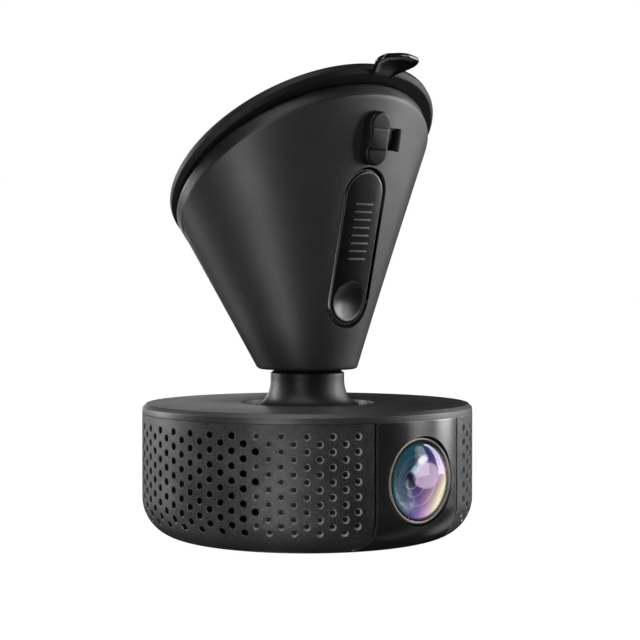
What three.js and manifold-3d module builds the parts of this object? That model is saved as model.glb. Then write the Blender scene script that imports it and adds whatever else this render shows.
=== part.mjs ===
// Dash camera: a round camera body that stands on its flat base, and above it a windscreen mount with a
// conical housing, a locking lever and a suction cup. Millimetres, +Z up, origin at the centre of the base.
// The lens and the lever face -Y.
import * as THREE from "three";
import { mergeVertices } from "three/addons/utils/BufferGeometryUtils.js";
import Module from "manifold-3d";

const wasm = await Module();
wasm.setup();

// ---------- driving dimensions ----------
const GAP = 0.3; // clearance between pieces that touch on the real object
const FULL_TURN_STEPS = 48; // facets round a large piece
const SMALL_TURN_STEPS = 12; // facets round a small piece

// camera body
const BODY_RADIUS = 37.5;
const BODY_HEIGHT = 30;
const BASE_ROUND = 9; // rounding between the side and the base
const WALL = 2;
const BASE_RIM = 31.3; // where the base pan ends on the rounding
const SHELL_TOP = 27.9; // joint line between the side and the top cover
const FASCIA_HALF_ANGLE = 19.2; // degrees either side of the lens
const RECESS_RADIUS = 15; // round recess in the top cover for the foot
const RECESS_FLOOR = 28.5;
const REAR_PLAIN_ANGLE = 31; // degrees either side of the rear centre without perforation

// lens
const LENS_HEIGHT = 15.1;
const BEZEL_RADIUS = 9.25;
const BEZEL_FRONT = 36.4; // distance of the bezel's front plane from the body's axis

// foot, neck and ball
const NECK_RADIUS = 8.4;
const FOOT_RADIUS = 11.8;
const NECK_TOP = 37.3;
const BALL_HEIGHT = 45;
const BALL_RADIUS = 6.5;

// conical housing
const HOUSING_BASE_RADIUS = 11.3;
const HOUSING_BASE_HEIGHT = 37.64;
const HOUSING_WALL = 1.8;
const CUP_TILT = THREE.MathUtils.degToRad(36.2); // the cup's axis leans this far from vertical, to +Y
const RIM_RADIUS = 30.6;
const RIM_CENTRE = new THREE.Vector3(0, 1.8, 82.15);
const RIM_BAND = 3; // height of the band between the crease and the rim
const CREASE_RADIUS = RIM_RADIUS - 0.4;

// suction cup
const CUP_RADIUS = 32.25;
const CUP_SHIFT = 1.97; // the cup sits this far towards the lever side of the rim
const CUP_FACE = 3.2; // its flat lip above the rim plane

// lever, measured along the front line of the cone from its lower edge
const SLOT_RADIUS = 6.2;
const SLOT_LOW = 15.8; // centre of the slot's lower round end
const SLOT_HIGH = 39.6; // centre of its upper round end
const LEVER_GAP = 0.5;
const LEVER_INSET = 0.3; // the lever's face below the cone's surface
const PIVOT_ALONG = 38.5;
const PIVOT_DEPTH = 3.2;
const PIN_RADIUS = 1.2;

// cable clip, on the same front line
const CLIP_ALONG = 52.2;
const CLIP_ACROSS = -0.7;
const CLIP_HALF_WIDTH = 3.1;
const CLIP_LENGTH = 11.9;
const CLIP_HEIGHT = 2.2;
const HOOK_HALF_HEIGHT = 2.5;
const HOOK_REACH = 5.7;

// pull tab of the suction cup
const TAB_NECK = 3.3;
const TAB_HALF_WIDTH = 5.9;
const TAB_THICKNESS = 1;
const TAB_LEAN = THREE.MathUtils.degToRad(11);

// ---------- materials ----------
function material(color, roughness, metalness = 0) {
  return new THREE.MeshStandardMaterial({ color, roughness, metalness });
}
const CHARCOAL = material(0x1c1c1d, 0.55);
const SATIN_BLACK = material(0x121213, 0.35);
const GLOSS_BLACK = material(0x08080a, 0.15);
const RUBBER = material(0x0c0c0c, 0.6);
const GUNMETAL = material(0x6a5f55, 0.3, 0.9);
const GLASS = material(0x2a2350, 0.05, 0.1);
const BOARD_GREEN = material(0x14462c, 0.5);
const STEEL = material(0xb4b6b8, 0.35, 1);
const DARK_STEEL = material(0x4b4d50, 0.4, 1);
const NYLON = material(0xd8d5cc, 0.5);
const FOIL = material(0xa9acb0, 0.3, 0.8);
const DARK_CLOTH = material(0x060606, 0.9);
const LIGHT_GUIDE = material(0xdfe6ea, 0.3);

// ---------- solids ----------
function solidOf(geometry) {
  const plain = new THREE.BufferGeometry();
  plain.setAttribute("position", geometry.getAttribute("position").clone());
  if (geometry.index) plain.setIndex(geometry.index.clone());
  const merged = mergeVertices(plain, 1e-4);
  return new wasm.Manifold(
    new wasm.Mesh({
      numProp: 3,
      vertProperties: new Float32Array(merged.attributes.position.array),
      triVerts: new Uint32Array(merged.index.array),
    }),
  );
}

function geometryOf(solid) {
  const mesh = solid.getMesh();
  const geometry = new THREE.BufferGeometry();
  geometry.setAttribute("position", new THREE.BufferAttribute(new Float32Array(mesh.vertProperties), 3));
  geometry.setIndex(new THREE.BufferAttribute(new Uint32Array(mesh.triVerts), 1));
  geometry.computeVertexNormals();
  return geometry;
}

function join(...geometries) {
  return geometryOf(geometries.map(solidOf).reduce((all, next) => all.add(next)));
}

function cut(geometry, ...tools) {
  return geometryOf(tools.map(solidOf).reduce((left, tool) => left.subtract(tool), solidOf(geometry)));
}

function within(geometry, limit) {
  return geometryOf(solidOf(geometry).intersect(solidOf(limit)));
}

function box(x, y, z) {
  const geometry = new THREE.BoxGeometry(x[1] - x[0], y[1] - y[0], z[1] - z[0]);
  return geometry.translate((x[0] + x[1]) / 2, (y[0] + y[1]) / 2, (z[0] + z[1]) / 2);
}

// A cylinder along Z.
function rod(radius, low, high, x = 0, y = 0, steps = SMALL_TURN_STEPS) {
  const geometry = new THREE.CylinderGeometry(radius, radius, high - low, steps);
  return geometry.rotateX(Math.PI / 2).translate(x, y, (low + high) / 2);
}

// A cylinder along Y.
function rodAlongY(radius, near, far, x = 0, z = 0, steps = SMALL_TURN_STEPS) {
  const geometry = new THREE.CylinderGeometry(radius, radius, far - near, steps);
  return geometry.translate(x, (near + far) / 2, z);
}

// A cylinder along X.
function rodAlongX(radius, halfLength, y, z) {
  const geometry = new THREE.CylinderGeometry(radius, radius, 2 * halfLength, SMALL_TURN_STEPS);
  return geometry.rotateZ(Math.PI / 2).translate(0, y, z);
}

// Points of a round stretch of an outline: centre, radius, and start and end angle in degrees.
function arc(centreR, centreZ, radius, from, to, steps = 6) {
  return Array.from({ length: steps + 1 }, (_, i) => {
    const angle = THREE.MathUtils.degToRad(from + ((to - from) * i) / steps);
    return [centreR + radius * Math.cos(angle), centreZ + radius * Math.sin(angle)];
  });
}

// Turns an outline of [radius, height] points round Z. An outline off the axis is closed on itself.
function turned(outline, steps = FULL_TURN_STEPS) {
  const points = outline.map(([r, z]) => new THREE.Vector2(r < 1e-6 ? 0 : r, z));
  const onAxis = points[0].x === 0 && points[points.length - 1].x === 0;
  if (THREE.ShapeUtils.isClockWise(points)) points.reverse();
  if (!onAxis) points.push(points[0].clone());
  return new THREE.LatheGeometry(points, steps).rotateX(Math.PI / 2);
}

// A slice of the body's round plan, centred on the direction `facing` (degrees, 0 at the lens, turning to +X).
function slice(facing, halfAngle, low, high) {
  const reach = 2 * BODY_RADIUS;
  const shape = new THREE.Shape();
  shape.moveTo(0, 0);
  const steps = 8;
  for (let i = 0; i <= steps; i += 1) {
    const angle = THREE.MathUtils.degToRad(facing - halfAngle + (2 * halfAngle * i) / steps);
    shape.lineTo(reach * Math.sin(angle), -reach * Math.cos(angle));
  }
  return new THREE.ExtrudeGeometry(shape, { depth: high - low, bevelEnabled: false }).translate(0, 0, low);
}

// A bar with two round ends, lying along Y, standing along Z.
function roundEndedBar(radius, start, end, low, high) {
  const shape = new THREE.Shape();
  shape.absarc(0, end, radius, 0, Math.PI, false);
  shape.absarc(0, start, radius, Math.PI, 2 * Math.PI, false);
  const options = { depth: high - low, bevelEnabled: false, curveSegments: 12 };
  return new THREE.ExtrudeGeometry(shape, options).translate(0, 0, low);
}

// ---------- frames of the mount ----------
// Cup frame: Z along the cup's axis out of the windscreen side, -Y up the slope to the lever side.
const cupFrame = new THREE.Matrix4().makeRotationX(-CUP_TILT).setPosition(RIM_CENTRE);

function cupPoint(across, up, out) {
  return new THREE.Vector3(across, -up, out).applyMatrix4(cupFrame);
}

const frontLow = new THREE.Vector3(0, -HOUSING_BASE_RADIUS, HOUSING_BASE_HEIGHT);
const frontHigh = cupPoint(0, CREASE_RADIUS, -RIM_BAND);
const FRONT_LEAN = Math.atan2(frontLow.y - frontHigh.y, frontHigh.z - frontLow.z);
// Front frame: Y up the front line of the cone from its lower edge, Z straight out of its surface.
const frontFrame = new THREE.Matrix4().makeRotationX(Math.PI / 2 + FRONT_LEAN).setPosition(frontLow);

// A solid through rings listed from low to high, each with a centre, a radius and a front direction.
function loft(rings, steps = FULL_TURN_STEPS) {
  const levels = rings.length - 1;
  const geometry = new THREE.CylinderGeometry(1, 1, 1, steps, levels);
  const position = geometry.attributes.position;
  const side = new THREE.Vector3(1, 0, 0);
  for (let i = 0; i < position.count; i += 1) {
    const ring = rings[Math.round((position.getY(i) + 0.5) * levels)];
    const point = ring.centre.clone();
    point.addScaledVector(ring.front, ring.radius * position.getZ(i));
    point.addScaledVector(side, ring.radius * position.getX(i));
    position.setXYZ(i, point.x, point.y, point.z);
  }
  return geometry;
}

function levelRing(height, radius) {
  return { centre: new THREE.Vector3(0, 0, height), radius, front: new THREE.Vector3(0, -1, 0) };
}

function slopedRing(out, radius) {
  const front = new THREE.Vector3(0, -Math.cos(CUP_TILT), Math.sin(CUP_TILT));
  return { centre: cupPoint(0, 0, out), radius, front };
}

function coneSolid(inset) {
  return loft([
    levelRing(HOUSING_BASE_HEIGHT, HOUSING_BASE_RADIUS - inset),
    slopedRing(-RIM_BAND, CREASE_RADIUS - inset),
    slopedRing(0, RIM_RADIUS - inset),
  ]);
}

// ---------- scene graph ----------
const dashCamera = new THREE.Group();
const cameraBody = new THREE.Group();
const mount = new THREE.Group();
const cupSide = new THREE.Group();
const leverSide = new THREE.Group();
cupSide.applyMatrix4(cupFrame);
leverSide.applyMatrix4(frontFrame);
mount.add(cupSide, leverSide);
dashCamera.add(cameraBody, mount);

function add(group, name, geometry, look) {
  const mesh = new THREE.Mesh(geometry, look);
  mesh.name = name;
  group.add(mesh);
  return mesh;
}

// ---------- camera body: casing ----------
const ROUND_CENTRE = BODY_RADIUS - BASE_ROUND;
const SCREW_CIRCLE = 25;
const SCREW_ANGLES = [45, 135, 225, 315];
const MAIN_BOARD_LOW = 8;
const MAIN_BOARD_HIGH = 9.2;
const PORT_HEIGHT = 11; // centre of the card slot, the socket and the reset hole
const CARD_X = 7;
const SOCKET_X = -11;
const RESET_X = -2.5;
const BUTTON_HEIGHT = 19.6;
const BUTTON_RADIUS = 4;

function aroundScrews(make) {
  return SCREW_ANGLES.map((degrees) => {
    const angle = THREE.MathUtils.degToRad(degrees);
    return make(SCREW_CIRCLE * Math.cos(angle), SCREW_CIRCLE * Math.sin(angle));
  });
}

// Angle on the base rounding, from its centre, at which the outer surface has this radius.
function roundingAngle(radius, rounding) {
  return -THREE.MathUtils.radToDeg(Math.acos((radius - ROUND_CENTRE) / rounding));
}

function basePan() {
  const outline = [
    [0, 0],
    ...arc(ROUND_CENTRE, BASE_ROUND, BASE_ROUND, -90, roundingAngle(BASE_RIM, BASE_ROUND), 3),
    [BASE_RIM, WALL],
    [0, WALL],
  ];
  const posts = aroundScrews((x, y) => rod(3.4, WALL - 0.5, MAIN_BOARD_LOW - GAP, x, y));
  const heads = aroundScrews((x, y) => rod(3.1, -1, 3.1, x, y));
  const shanks = aroundScrews((x, y) => rod(1.8, 0, MAIN_BOARD_LOW + 1, x, y));
  return cut(join(turned(outline), ...posts), ...heads, ...shanks);
}

// The whole ring of the side wall, from which the shell and the fascia are sliced.
function sideRing() {
  const low = BASE_RIM + GAP;
  return turned([
    ...arc(ROUND_CENTRE, BASE_ROUND, BASE_ROUND, roundingAngle(low, BASE_ROUND), 0, 6),
    [BODY_RADIUS, SHELL_TOP],
    [BODY_RADIUS - WALL, SHELL_TOP],
    ...arc(ROUND_CENTRE, BASE_ROUND, BASE_ROUND - WALL, 0, roundingAngle(low, BASE_ROUND - WALL), 5),
  ]);
}

const sideWall = sideRing();

function sideShell() {
  const rear = [BODY_RADIUS - 2 * WALL - 4, BODY_RADIUS + 2];
  return cut(
    sideWall,
    slice(0, FASCIA_HALF_ANGLE, -1, BODY_HEIGHT),
    rodAlongY(BUTTON_RADIUS + 2.5, ...rear, 0, BUTTON_HEIGHT),
    box([CARD_X - 6.4, CARD_X + 6.4], rear, [PORT_HEIGHT - 1.1, PORT_HEIGHT + 1.1]),
    box([SOCKET_X - 4.4, SOCKET_X + 4.4], rear, [PORT_HEIGHT - 2, PORT_HEIGHT + 2]),
    rodAlongY(1.3, ...rear, RESET_X, PORT_HEIGHT),
  );
}

function frontFascia() {
  const sized = within(sideWall, slice(0, FASCIA_HALF_ANGLE - 0.45, -1, BODY_HEIGHT));
  return cut(sized, rodAlongY(BEZEL_RADIUS + 0.25, -BODY_RADIUS - 3, -20, 0, LENS_HEIGHT, 40));
}

function topCover() {
  const under = SHELL_TOP + 0.2;
  const outline = [
    [0, RECESS_FLOOR - WALL],
    [RECESS_RADIUS + WALL, RECESS_FLOOR - WALL],
    [RECESS_RADIUS + WALL, under],
    [BODY_RADIUS, under],
    ...arc(BODY_RADIUS - 0.8, BODY_HEIGHT - 0.8, 0.8, 0, 90, 3),
    [RECESS_RADIUS, BODY_HEIGHT],
    [RECESS_RADIUS, RECESS_FLOOR],
    [0, RECESS_FLOOR],
  ];
  const posts = aroundScrews((x, y) => rod(3, MAIN_BOARD_HIGH + GAP, under + 0.5, x, y));
  const bores = aroundScrews((x, y) => rod(1.7, 0, 17, x, y));
  return cut(join(turned(outline), ...posts), ...bores);
}

function screw(headRadius, headLow, shankRadius, shankHigh) {
  const headHigh = headLow + 1.8;
  return turned(
    [
      [0, headLow],
      [headRadius, headLow],
      [headRadius, headHigh],
      [shankRadius, headHigh],
      [shankRadius, shankHigh],
      [0, shankHigh],
    ],
    SMALL_TURN_STEPS,
  );
}

add(cameraBody, "base_pan", basePan(), SATIN_BLACK);
add(cameraBody, "side_shell", sideShell(), CHARCOAL);
add(cameraBody, "front_fascia", frontFascia(), SATIN_BLACK);
add(cameraBody, "top_cover", topCover(), CHARCOAL);
aroundScrews((x, y) => [x, y]).forEach(([x, y], i) => {
  add(cameraBody, `case_screw_${i + 1}`, screw(2.7, 0.9, 1.4, 16), STEEL).position.set(x, y, 0);
});

// ---------- camera body: lens and sensor ----------
// Turned about the lens axis; `front` values are distances from the body's axis towards the lens.
function turnedOnLensAxis(outline, steps = 36) {
  return turned(outline, steps).rotateX(Math.PI / 2).translate(0, 0, LENS_HEIGHT);
}

const BARREL_RADIUS = 7;
const DOME_RADIUS = 8.1;

function lensBezel() {
  return turnedOnLensAxis([
    [8.45, BEZEL_FRONT - 2.4],
    [BEZEL_RADIUS, BEZEL_FRONT - 2.4],
    [BEZEL_RADIUS, BEZEL_FRONT],
    [8.7, BEZEL_FRONT],
    [8.45, BEZEL_FRONT - 0.3],
  ]);
}

function lensDome() {
  const edge = BEZEL_FRONT - 0.5;
  const front = [0, 1, 2, 3, 4, 5].map((i) => {
    const share = i / 5;
    return [DOME_RADIUS * Math.cos((share * Math.PI) / 2), edge + 2.3 * Math.sin((share * Math.PI) / 2)];
  });
  return turnedOnLensAxis([[0, edge - 1.6], [DOME_RADIUS, edge - 1.6], ...front]);
}

function lensBarrel() {
  return turnedOnLensAxis([
    [5.9, 21],
    [BARREL_RADIUS, 21],
    [BARREL_RADIUS, BEZEL_FRONT - 2.5],
    [5.9, BEZEL_FRONT - 2.5],
  ]);
}

function innerElement() {
  const front = [0, 1, 2, 3].map((i) => [5.6 * (1 - i / 3), 29.5 + 1.6 * Math.sin((i / 3) * (Math.PI / 2))]);
  return turnedOnLensAxis([[0, 27.6], [5.6, 27.6], ...front], 24);
}

add(cameraBody, "lens_bezel", lensBezel(), GUNMETAL);
add(cameraBody, "lens_dome", lensDome(), GLASS);
add(cameraBody, "lens_barrel", lensBarrel(), GLOSS_BLACK);
add(cameraBody, "lens_inner_element", innerElement(), GLASS);
const sensorZ = [LENS_HEIGHT - 4, LENS_HEIGHT + 4];
add(cameraBody, "image_sensor", box([-4, 4], [-20.8, -19.6], sensorZ), GLOSS_BLACK);
const sensorBoardZ = [LENS_HEIGHT - 8.2, LENS_HEIGHT + 8.2];
add(cameraBody, "sensor_board", box([-9, 9], [-19.3, -18.1], sensorBoardZ), BOARD_GREEN);

// ---------- camera body: electronics ----------
function mainBoard() {
  const holes = aroundScrews((x, y) => rod(1.9, 0, 20, x, y));
  const disc = rod(32, MAIN_BOARD_LOW, MAIN_BOARD_HIGH, 0, 0, 48);
  return cut(disc, box([-10.5, 10.5], [-40, -17], [0, 20]), ...holes);
}

function innerFrame() {
  const holes = aroundScrews((x, y) => rod(3.4, 0, 30, x, y));
  return cut(rod(31, 24, 25.5, 0, 0, 48), rod(14.8, 0, 40), box([-10.5, 10.5], [-40, -12], [0, 40]), ...holes);
}

function cardSocket() {
  const low = MAIN_BOARD_HIGH + GAP;
  const outer = box([CARD_X - 7, CARD_X + 7], [15, 30.5], [low, 12.4]);
  return cut(outer, box([CARD_X - 5.9, CARD_X + 5.9], [16.2, 40], [PORT_HEIGHT - 0.8, PORT_HEIGHT + 0.8]));
}

function usbSocket() {
  const low = MAIN_BOARD_HIGH + GAP;
  const rear = Math.sqrt(BODY_RADIUS ** 2 - (Math.abs(SOCKET_X) + 4) ** 2) - 0.6;
  const outer = box([SOCKET_X - 4, SOCKET_X + 4], [rear - 7, rear], [low, PORT_HEIGHT + 1.6]);
  const mouth = box([SOCKET_X - 3.4, SOCKET_X + 3.4], [rear - 5.5, rear + 5], [PORT_HEIGHT - 1, PORT_HEIGHT + 1]);
  return cut(outer, mouth);
}

const onBoard = MAIN_BOARD_HIGH + GAP;
add(cameraBody, "main_board", mainBoard(), BOARD_GREEN);
add(cameraBody, "inner_frame", innerFrame(), CHARCOAL);
add(cameraBody, "processor_shield", box([-14, 0], [-13, 1], [onBoard, onBoard + 2]), FOIL);
add(cameraBody, "wifi_module", box([3, 14], [-13, -3], [onBoard, onBoard + 1.8]), FOIL);
add(cameraBody, "microphone", rod(2, onBoard, onBoard + 1.5, 18, -4), FOIL);
add(cameraBody, "battery", box([-15, 15], [-6, 13], [14, 20]), FOIL);
add(cameraBody, "speaker", rod(8.5, WALL + GAP, WALL + 4.4, -8, 4, 32), DARK_STEEL);
add(cameraBody, "magnet_ring", turned([[6, 23.2], [14, 23.2], [14, 26.2], [6, 26.2]], 40), DARK_STEEL);
add(cameraBody, "card_socket", cardSocket(), STEEL);
add(cameraBody, "usb_socket", usbSocket(), STEEL);

function meshLiner(facing, halfAngle) {
  const outer = BODY_RADIUS - WALL - GAP;
  const ring = turned([[outer - 0.5, 8.5], [outer, 8.5], [outer, SHELL_TOP - 1], [outer - 0.5, SHELL_TOP - 1]]);
  return within(ring, slice(facing, halfAngle, 0, BODY_HEIGHT));
}

const linerHalfAngle = (180 - REAR_PLAIN_ANGLE - FASCIA_HALF_ANGLE) / 2 - 1;
const linerFacing = FASCIA_HALF_ANGLE + 1 + linerHalfAngle;
add(cameraBody, "mesh_liner_right", meshLiner(linerFacing, linerHalfAngle), DARK_CLOTH);
add(cameraBody, "mesh_liner_left", meshLiner(-linerFacing, linerHalfAngle), DARK_CLOTH);

// ---------- camera body: rear controls ----------
const BUTTON_FACE = BODY_RADIUS + 0.7;

function buttonRing() {
  const ring = turned(
    [
      [BUTTON_RADIUS + 0.35, -BODY_RADIUS - 0.1],
      [BUTTON_RADIUS + 2.2, -BODY_RADIUS - 0.1],
      [BUTTON_RADIUS + 2.2, -BODY_RADIUS + 2.4],
      [BUTTON_RADIUS + 0.35, -BODY_RADIUS + 2.4],
    ],
    32,
  );
  return ring.rotateX(Math.PI / 2).translate(0, 0, BUTTON_HEIGHT);
}

add(cameraBody, "button_ring", buttonRing(), LIGHT_GUIDE);
const buttonGeometry = join(
  rodAlongY(BUTTON_RADIUS, BODY_RADIUS - 2.5, BUTTON_FACE, 0, BUTTON_HEIGHT),
  rodAlongY(1.6, 32.9, BODY_RADIUS - 2, 0, BUTTON_HEIGHT),
);
add(cameraBody, "power_button", buttonGeometry, SATIN_BLACK);
const switchZ = [BUTTON_HEIGHT - 3, BUTTON_HEIGHT + 3];
add(cameraBody, "power_switch", box([-3, 3], [30, 31.8], switchZ), DARK_STEEL);
add(cameraBody, "button_board", box([-5, 5], [28.5, 29.7], [13, 23.6]), BOARD_GREEN);
add(cameraBody, "reset_switch", box([RESET_X - 1.6, RESET_X + 1.6], [28, 31.3], [onBoard, 12.4]), DARK_STEEL);
add(cameraBody, "reset_button", rodAlongY(0.9, 32.1, BODY_RADIUS - 1, RESET_X, PORT_HEIGHT, 16), SATIN_BLACK);
const cardZ = [PORT_HEIGHT - 0.45, PORT_HEIGHT + 0.45];
const cardRear = Math.sqrt(BODY_RADIUS ** 2 - (CARD_X + 5.5) ** 2) - 0.3;
add(cameraBody, "memory_card", box([CARD_X - 5.5, CARD_X + 5.5], [cardRear - 15, cardRear], cardZ), GLOSS_BLACK);

// ---------- mount: magnetic foot, neck and ball ----------
const FOOT_LOW = RECESS_FLOOR + GAP;
const POCKET_HIGH = FOOT_LOW + 1.5;

function keeperPlate() {
  return turned([[1.9, FOOT_LOW], [9.5, FOOT_LOW], [9.5, POCKET_HIGH - GAP], [1.9, POCKET_HIGH - GAP]], 32);
}

function swivelNeck() {
  const flare = Array.from({ length: 5 }, (_, i) => {
    const angle = ((i + 1) / 6) * (Math.PI / 2);
    const reach = FOOT_RADIUS - NECK_RADIUS;
    return [FOOT_RADIUS - reach * Math.sin(angle), FOOT_LOW + 0.8 + 5.8 * (1 - Math.cos(angle))];
  });
  return turned([
    [9.8, FOOT_LOW],
    [FOOT_RADIUS, FOOT_LOW],
    [FOOT_RADIUS, FOOT_LOW + 0.8],
    ...flare,
    [NECK_RADIUS, FOOT_LOW + 6.6],
    [NECK_RADIUS, NECK_TOP - 0.6],
    [NECK_RADIUS - 0.8, NECK_TOP],
    [5.2, NECK_TOP],
    [5.2, 33.5],
    [1.9, 33.5],
    [1.9, POCKET_HIGH],
    [9.8, POCKET_HIGH],
  ], 36);
}

function swivelRivet() {
  return turned(
    [
      [0, FOOT_LOW + 0.1],
      [1.6, FOOT_LOW + 0.1],
      [1.6, 33.8],
      [3, 33.8],
      [3, 34.8],
      [0, 34.8],
    ],
    SMALL_TURN_STEPS,
  );
}

function ballStud() {
  const throat = 3.6;
  const start = -THREE.MathUtils.radToDeg(Math.acos(throat / BALL_RADIUS));
  return turned(
    [
      [0, 35.4],
      [4.9, 35.4],
      [4.9, NECK_TOP],
      [throat, NECK_TOP + 0.8],
      ...arc(0, BALL_HEIGHT, BALL_RADIUS, start, 90, 9),
    ],
    28,
  );
}

add(mount, "keeper_plate", keeperPlate(), STEEL);
add(mount, "swivel_rivet", swivelRivet(), STEEL);
add(mount, "swivel_neck", swivelNeck(), CHARCOAL);
add(mount, "ball_stud", ballStud(), STEEL);

// ---------- mount: ball socket ----------
const LINER_INNER = BALL_RADIUS + GAP;
const LINER_OUTER = LINER_INNER + 1.1;
const SOCKET_INNER = LINER_OUTER + GAP;
const SOCKET_OUTER = 9;
const FLANGE_RADIUS = 10.9;
const SOCKET_LOW = 41.3;
const SOCKET_HIGH = 49.5;

function heightAngle(height, radius) {
  return THREE.MathUtils.radToDeg(Math.asin((height - BALL_HEIGHT) / radius));
}

function socketLiner() {
  return turned(
    [
      ...arc(0, BALL_HEIGHT, LINER_OUTER, -22, 60, 6),
      ...arc(0, BALL_HEIGHT, LINER_INNER, 60, -22, 6),
    ],
    28,
  );
}

function socketClamp() {
  const low = heightAngle(SOCKET_LOW, SOCKET_INNER);
  const high = heightAngle(SOCKET_HIGH, SOCKET_INNER);
  return turned(
    [
      [FLANGE_RADIUS, SOCKET_LOW],
      [FLANGE_RADIUS, 44],
      [SOCKET_OUTER, 44],
      [SOCKET_OUTER, SOCKET_HIGH],
      ...arc(0, BALL_HEIGHT, SOCKET_INNER, high, low, 5),
    ],
    32,
  );
}

function socketCover() {
  const low = SOCKET_HIGH + GAP;
  return turned([[7.6, low], [SOCKET_OUTER, low], [SOCKET_OUTER, 55], [2, 55], [2, 53.6], [7.6, 53.6]], 32);
}

add(mount, "socket_liner", socketLiner(), NYLON);
add(mount, "socket_clamp", socketClamp(), DARK_STEEL);
add(mount, "socket_cover", socketCover(), CHARCOAL);
add(mount, "clamp_spring", turned([[3.4, 52.2], [6.8, 52.2], [6.8, 53.3], [3.4, 53.3]], 24), STEEL);

// ---------- mount: conical housing ----------
const SEAT_SCREW_CIRCLE = 23;
const SEAT_SCREW_ANGLES = [75, 180, 285]; // degrees round the cup's axis from the lever side

function seatScrewSpots() {
  return SEAT_SCREW_ANGLES.map((degrees) => {
    const angle = THREE.MathUtils.degToRad(degrees);
    return [SEAT_SCREW_CIRCLE * Math.sin(angle), -SEAT_SCREW_CIRCLE * Math.cos(angle)];
  });
}

function coneHousing() {
  const outside = coneSolid(0);
  const cavity = loft([
    levelRing(SOCKET_LOW - GAP, FLANGE_RADIUS + GAP),
    slopedRing(-RIM_BAND, CREASE_RADIUS - HOUSING_WALL),
    slopedRing(2, RIM_RADIUS - HOUSING_WALL),
  ]);
  const hollow = cut(outside, cavity, rod(10.3, 30, SOCKET_LOW, 0, 0, 48));
  const tray = roundEndedBar(SLOT_RADIUS + 1.2, SLOT_LOW, 32, -4, -1).applyMatrix4(frontFrame);
  const ears = [-1, 1].map((side) => {
    const x = [side * SLOT_RADIUS, side * (SLOT_RADIUS + 1.6)].sort((a, b) => a - b);
    return box(x, [PIVOT_ALONG - 3.4, PIVOT_ALONG + 3.4], [-6, -1.5]).applyMatrix4(frontFrame);
  });
  const posts = seatScrewSpots().map(([x, y]) => rod(2.6, -9, -RIM_BAND - 0.1, x, y).applyMatrix4(cupFrame));
  const ribs = SEAT_SCREW_ANGLES.map((degrees) => {
    const rib = box([-0.8, 0.8], [-29.5, -SEAT_SCREW_CIRCLE], [-9, -RIM_BAND - 0.1]);
    return rib.rotateZ(THREE.MathUtils.degToRad(degrees)).applyMatrix4(cupFrame);
  });
  const added = within(join(hollow, tray, ...ears, ...posts, ...ribs), outside);
  const pocket = roundEndedBar(SLOT_RADIUS, SLOT_LOW, SLOT_HIGH, -3, 6).applyMatrix4(frontFrame);
  const well = box([-SLOT_RADIUS, SLOT_RADIUS], [31, SLOT_HIGH], [-16, 0]).applyMatrix4(frontFrame);
  const pinHole = rodAlongX(PIN_RADIUS + GAP, 9, PIVOT_ALONG, -PIVOT_DEPTH).applyMatrix4(frontFrame);
  const bores = seatScrewSpots().map(([x, y]) => rod(1.5, -8, 0, x, y).applyMatrix4(cupFrame));
  return cut(added, pocket, well, pinHole, ...bores);
}

add(mount, "cone_housing", coneHousing(), CHARCOAL);

// ---------- mount: lever and pin ----------
function leverGeometry() {
  const radius = SLOT_RADIUS - LEVER_GAP;
  const top = SLOT_HIGH - LEVER_GAP / 2;
  const panel = roundEndedBar(radius, SLOT_LOW, top, -2.6, 3).applyMatrix4(frontFrame);
  const skin = within(panel, coneSolid(LEVER_INSET)).applyMatrix4(frontFrame.clone().invert());
  const barrel = rodAlongX(2.6, 4.5, PIVOT_ALONG, -PIVOT_DEPTH);
  const dishDepth = 1.5;
  const dishRadius = (4.7 ** 2 + dishDepth ** 2) / (2 * dishDepth);
  const dish = new THREE.SphereGeometry(dishRadius, 36, 20);
  dish.translate(0, SLOT_LOW, dishRadius - dishDepth - LEVER_INSET);
  return cut(join(skin, barrel), dish, rodAlongX(PIN_RADIUS + GAP, 9, PIVOT_ALONG, -PIVOT_DEPTH));
}

add(leverSide, "lever", leverGeometry(), GLOSS_BLACK);
const pinHalfLength = SLOT_RADIUS + 1.4;
add(leverSide, "lever_pin", rodAlongX(PIN_RADIUS, pinHalfLength, PIVOT_ALONG, -PIVOT_DEPTH), STEEL);

// ---------- mount: cable clip ----------
function cableClip() {
  const half = CLIP_LENGTH / 2 - CLIP_HALF_WIDTH;
  const boss = roundEndedBar(CLIP_HALF_WIDTH, CLIP_ALONG - half, CLIP_ALONG + half, -2, CLIP_HEIGHT);
  boss.translate(CLIP_ACROSS, 0, 0);
  const hookY = [CLIP_ALONG - HOOK_HALF_HEIGHT, CLIP_ALONG + HOOK_HALF_HEIGHT];
  const band = box([CLIP_ACROSS - CLIP_HALF_WIDTH, CLIP_ACROSS + 2.3], hookY, [0, CLIP_HEIGHT + 0.5]);
  const floor = box([CLIP_ACROSS, HOOK_REACH], hookY, [0.1, 0.9]);
  const tongue = box([HOOK_REACH - 0.9, HOOK_REACH], hookY, [0.1, CLIP_HEIGHT]);
  const whole = join(boss, band, floor, tongue).applyMatrix4(frontFrame);
  return cut(whole, coneSolid(-GAP)).applyMatrix4(frontFrame.clone().invert());
}

add(leverSide, "cable_clip", cableClip(), SATIN_BLACK);

// ---------- mount: suction cup and plunger, in the cup frame ----------
const SEAT_LOW = -2.8;
const SEAT_HIGH = -0.7;
const SHAFT_RADIUS = 3.4;
const FOLLOWER_HIGH = -12.2;

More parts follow.
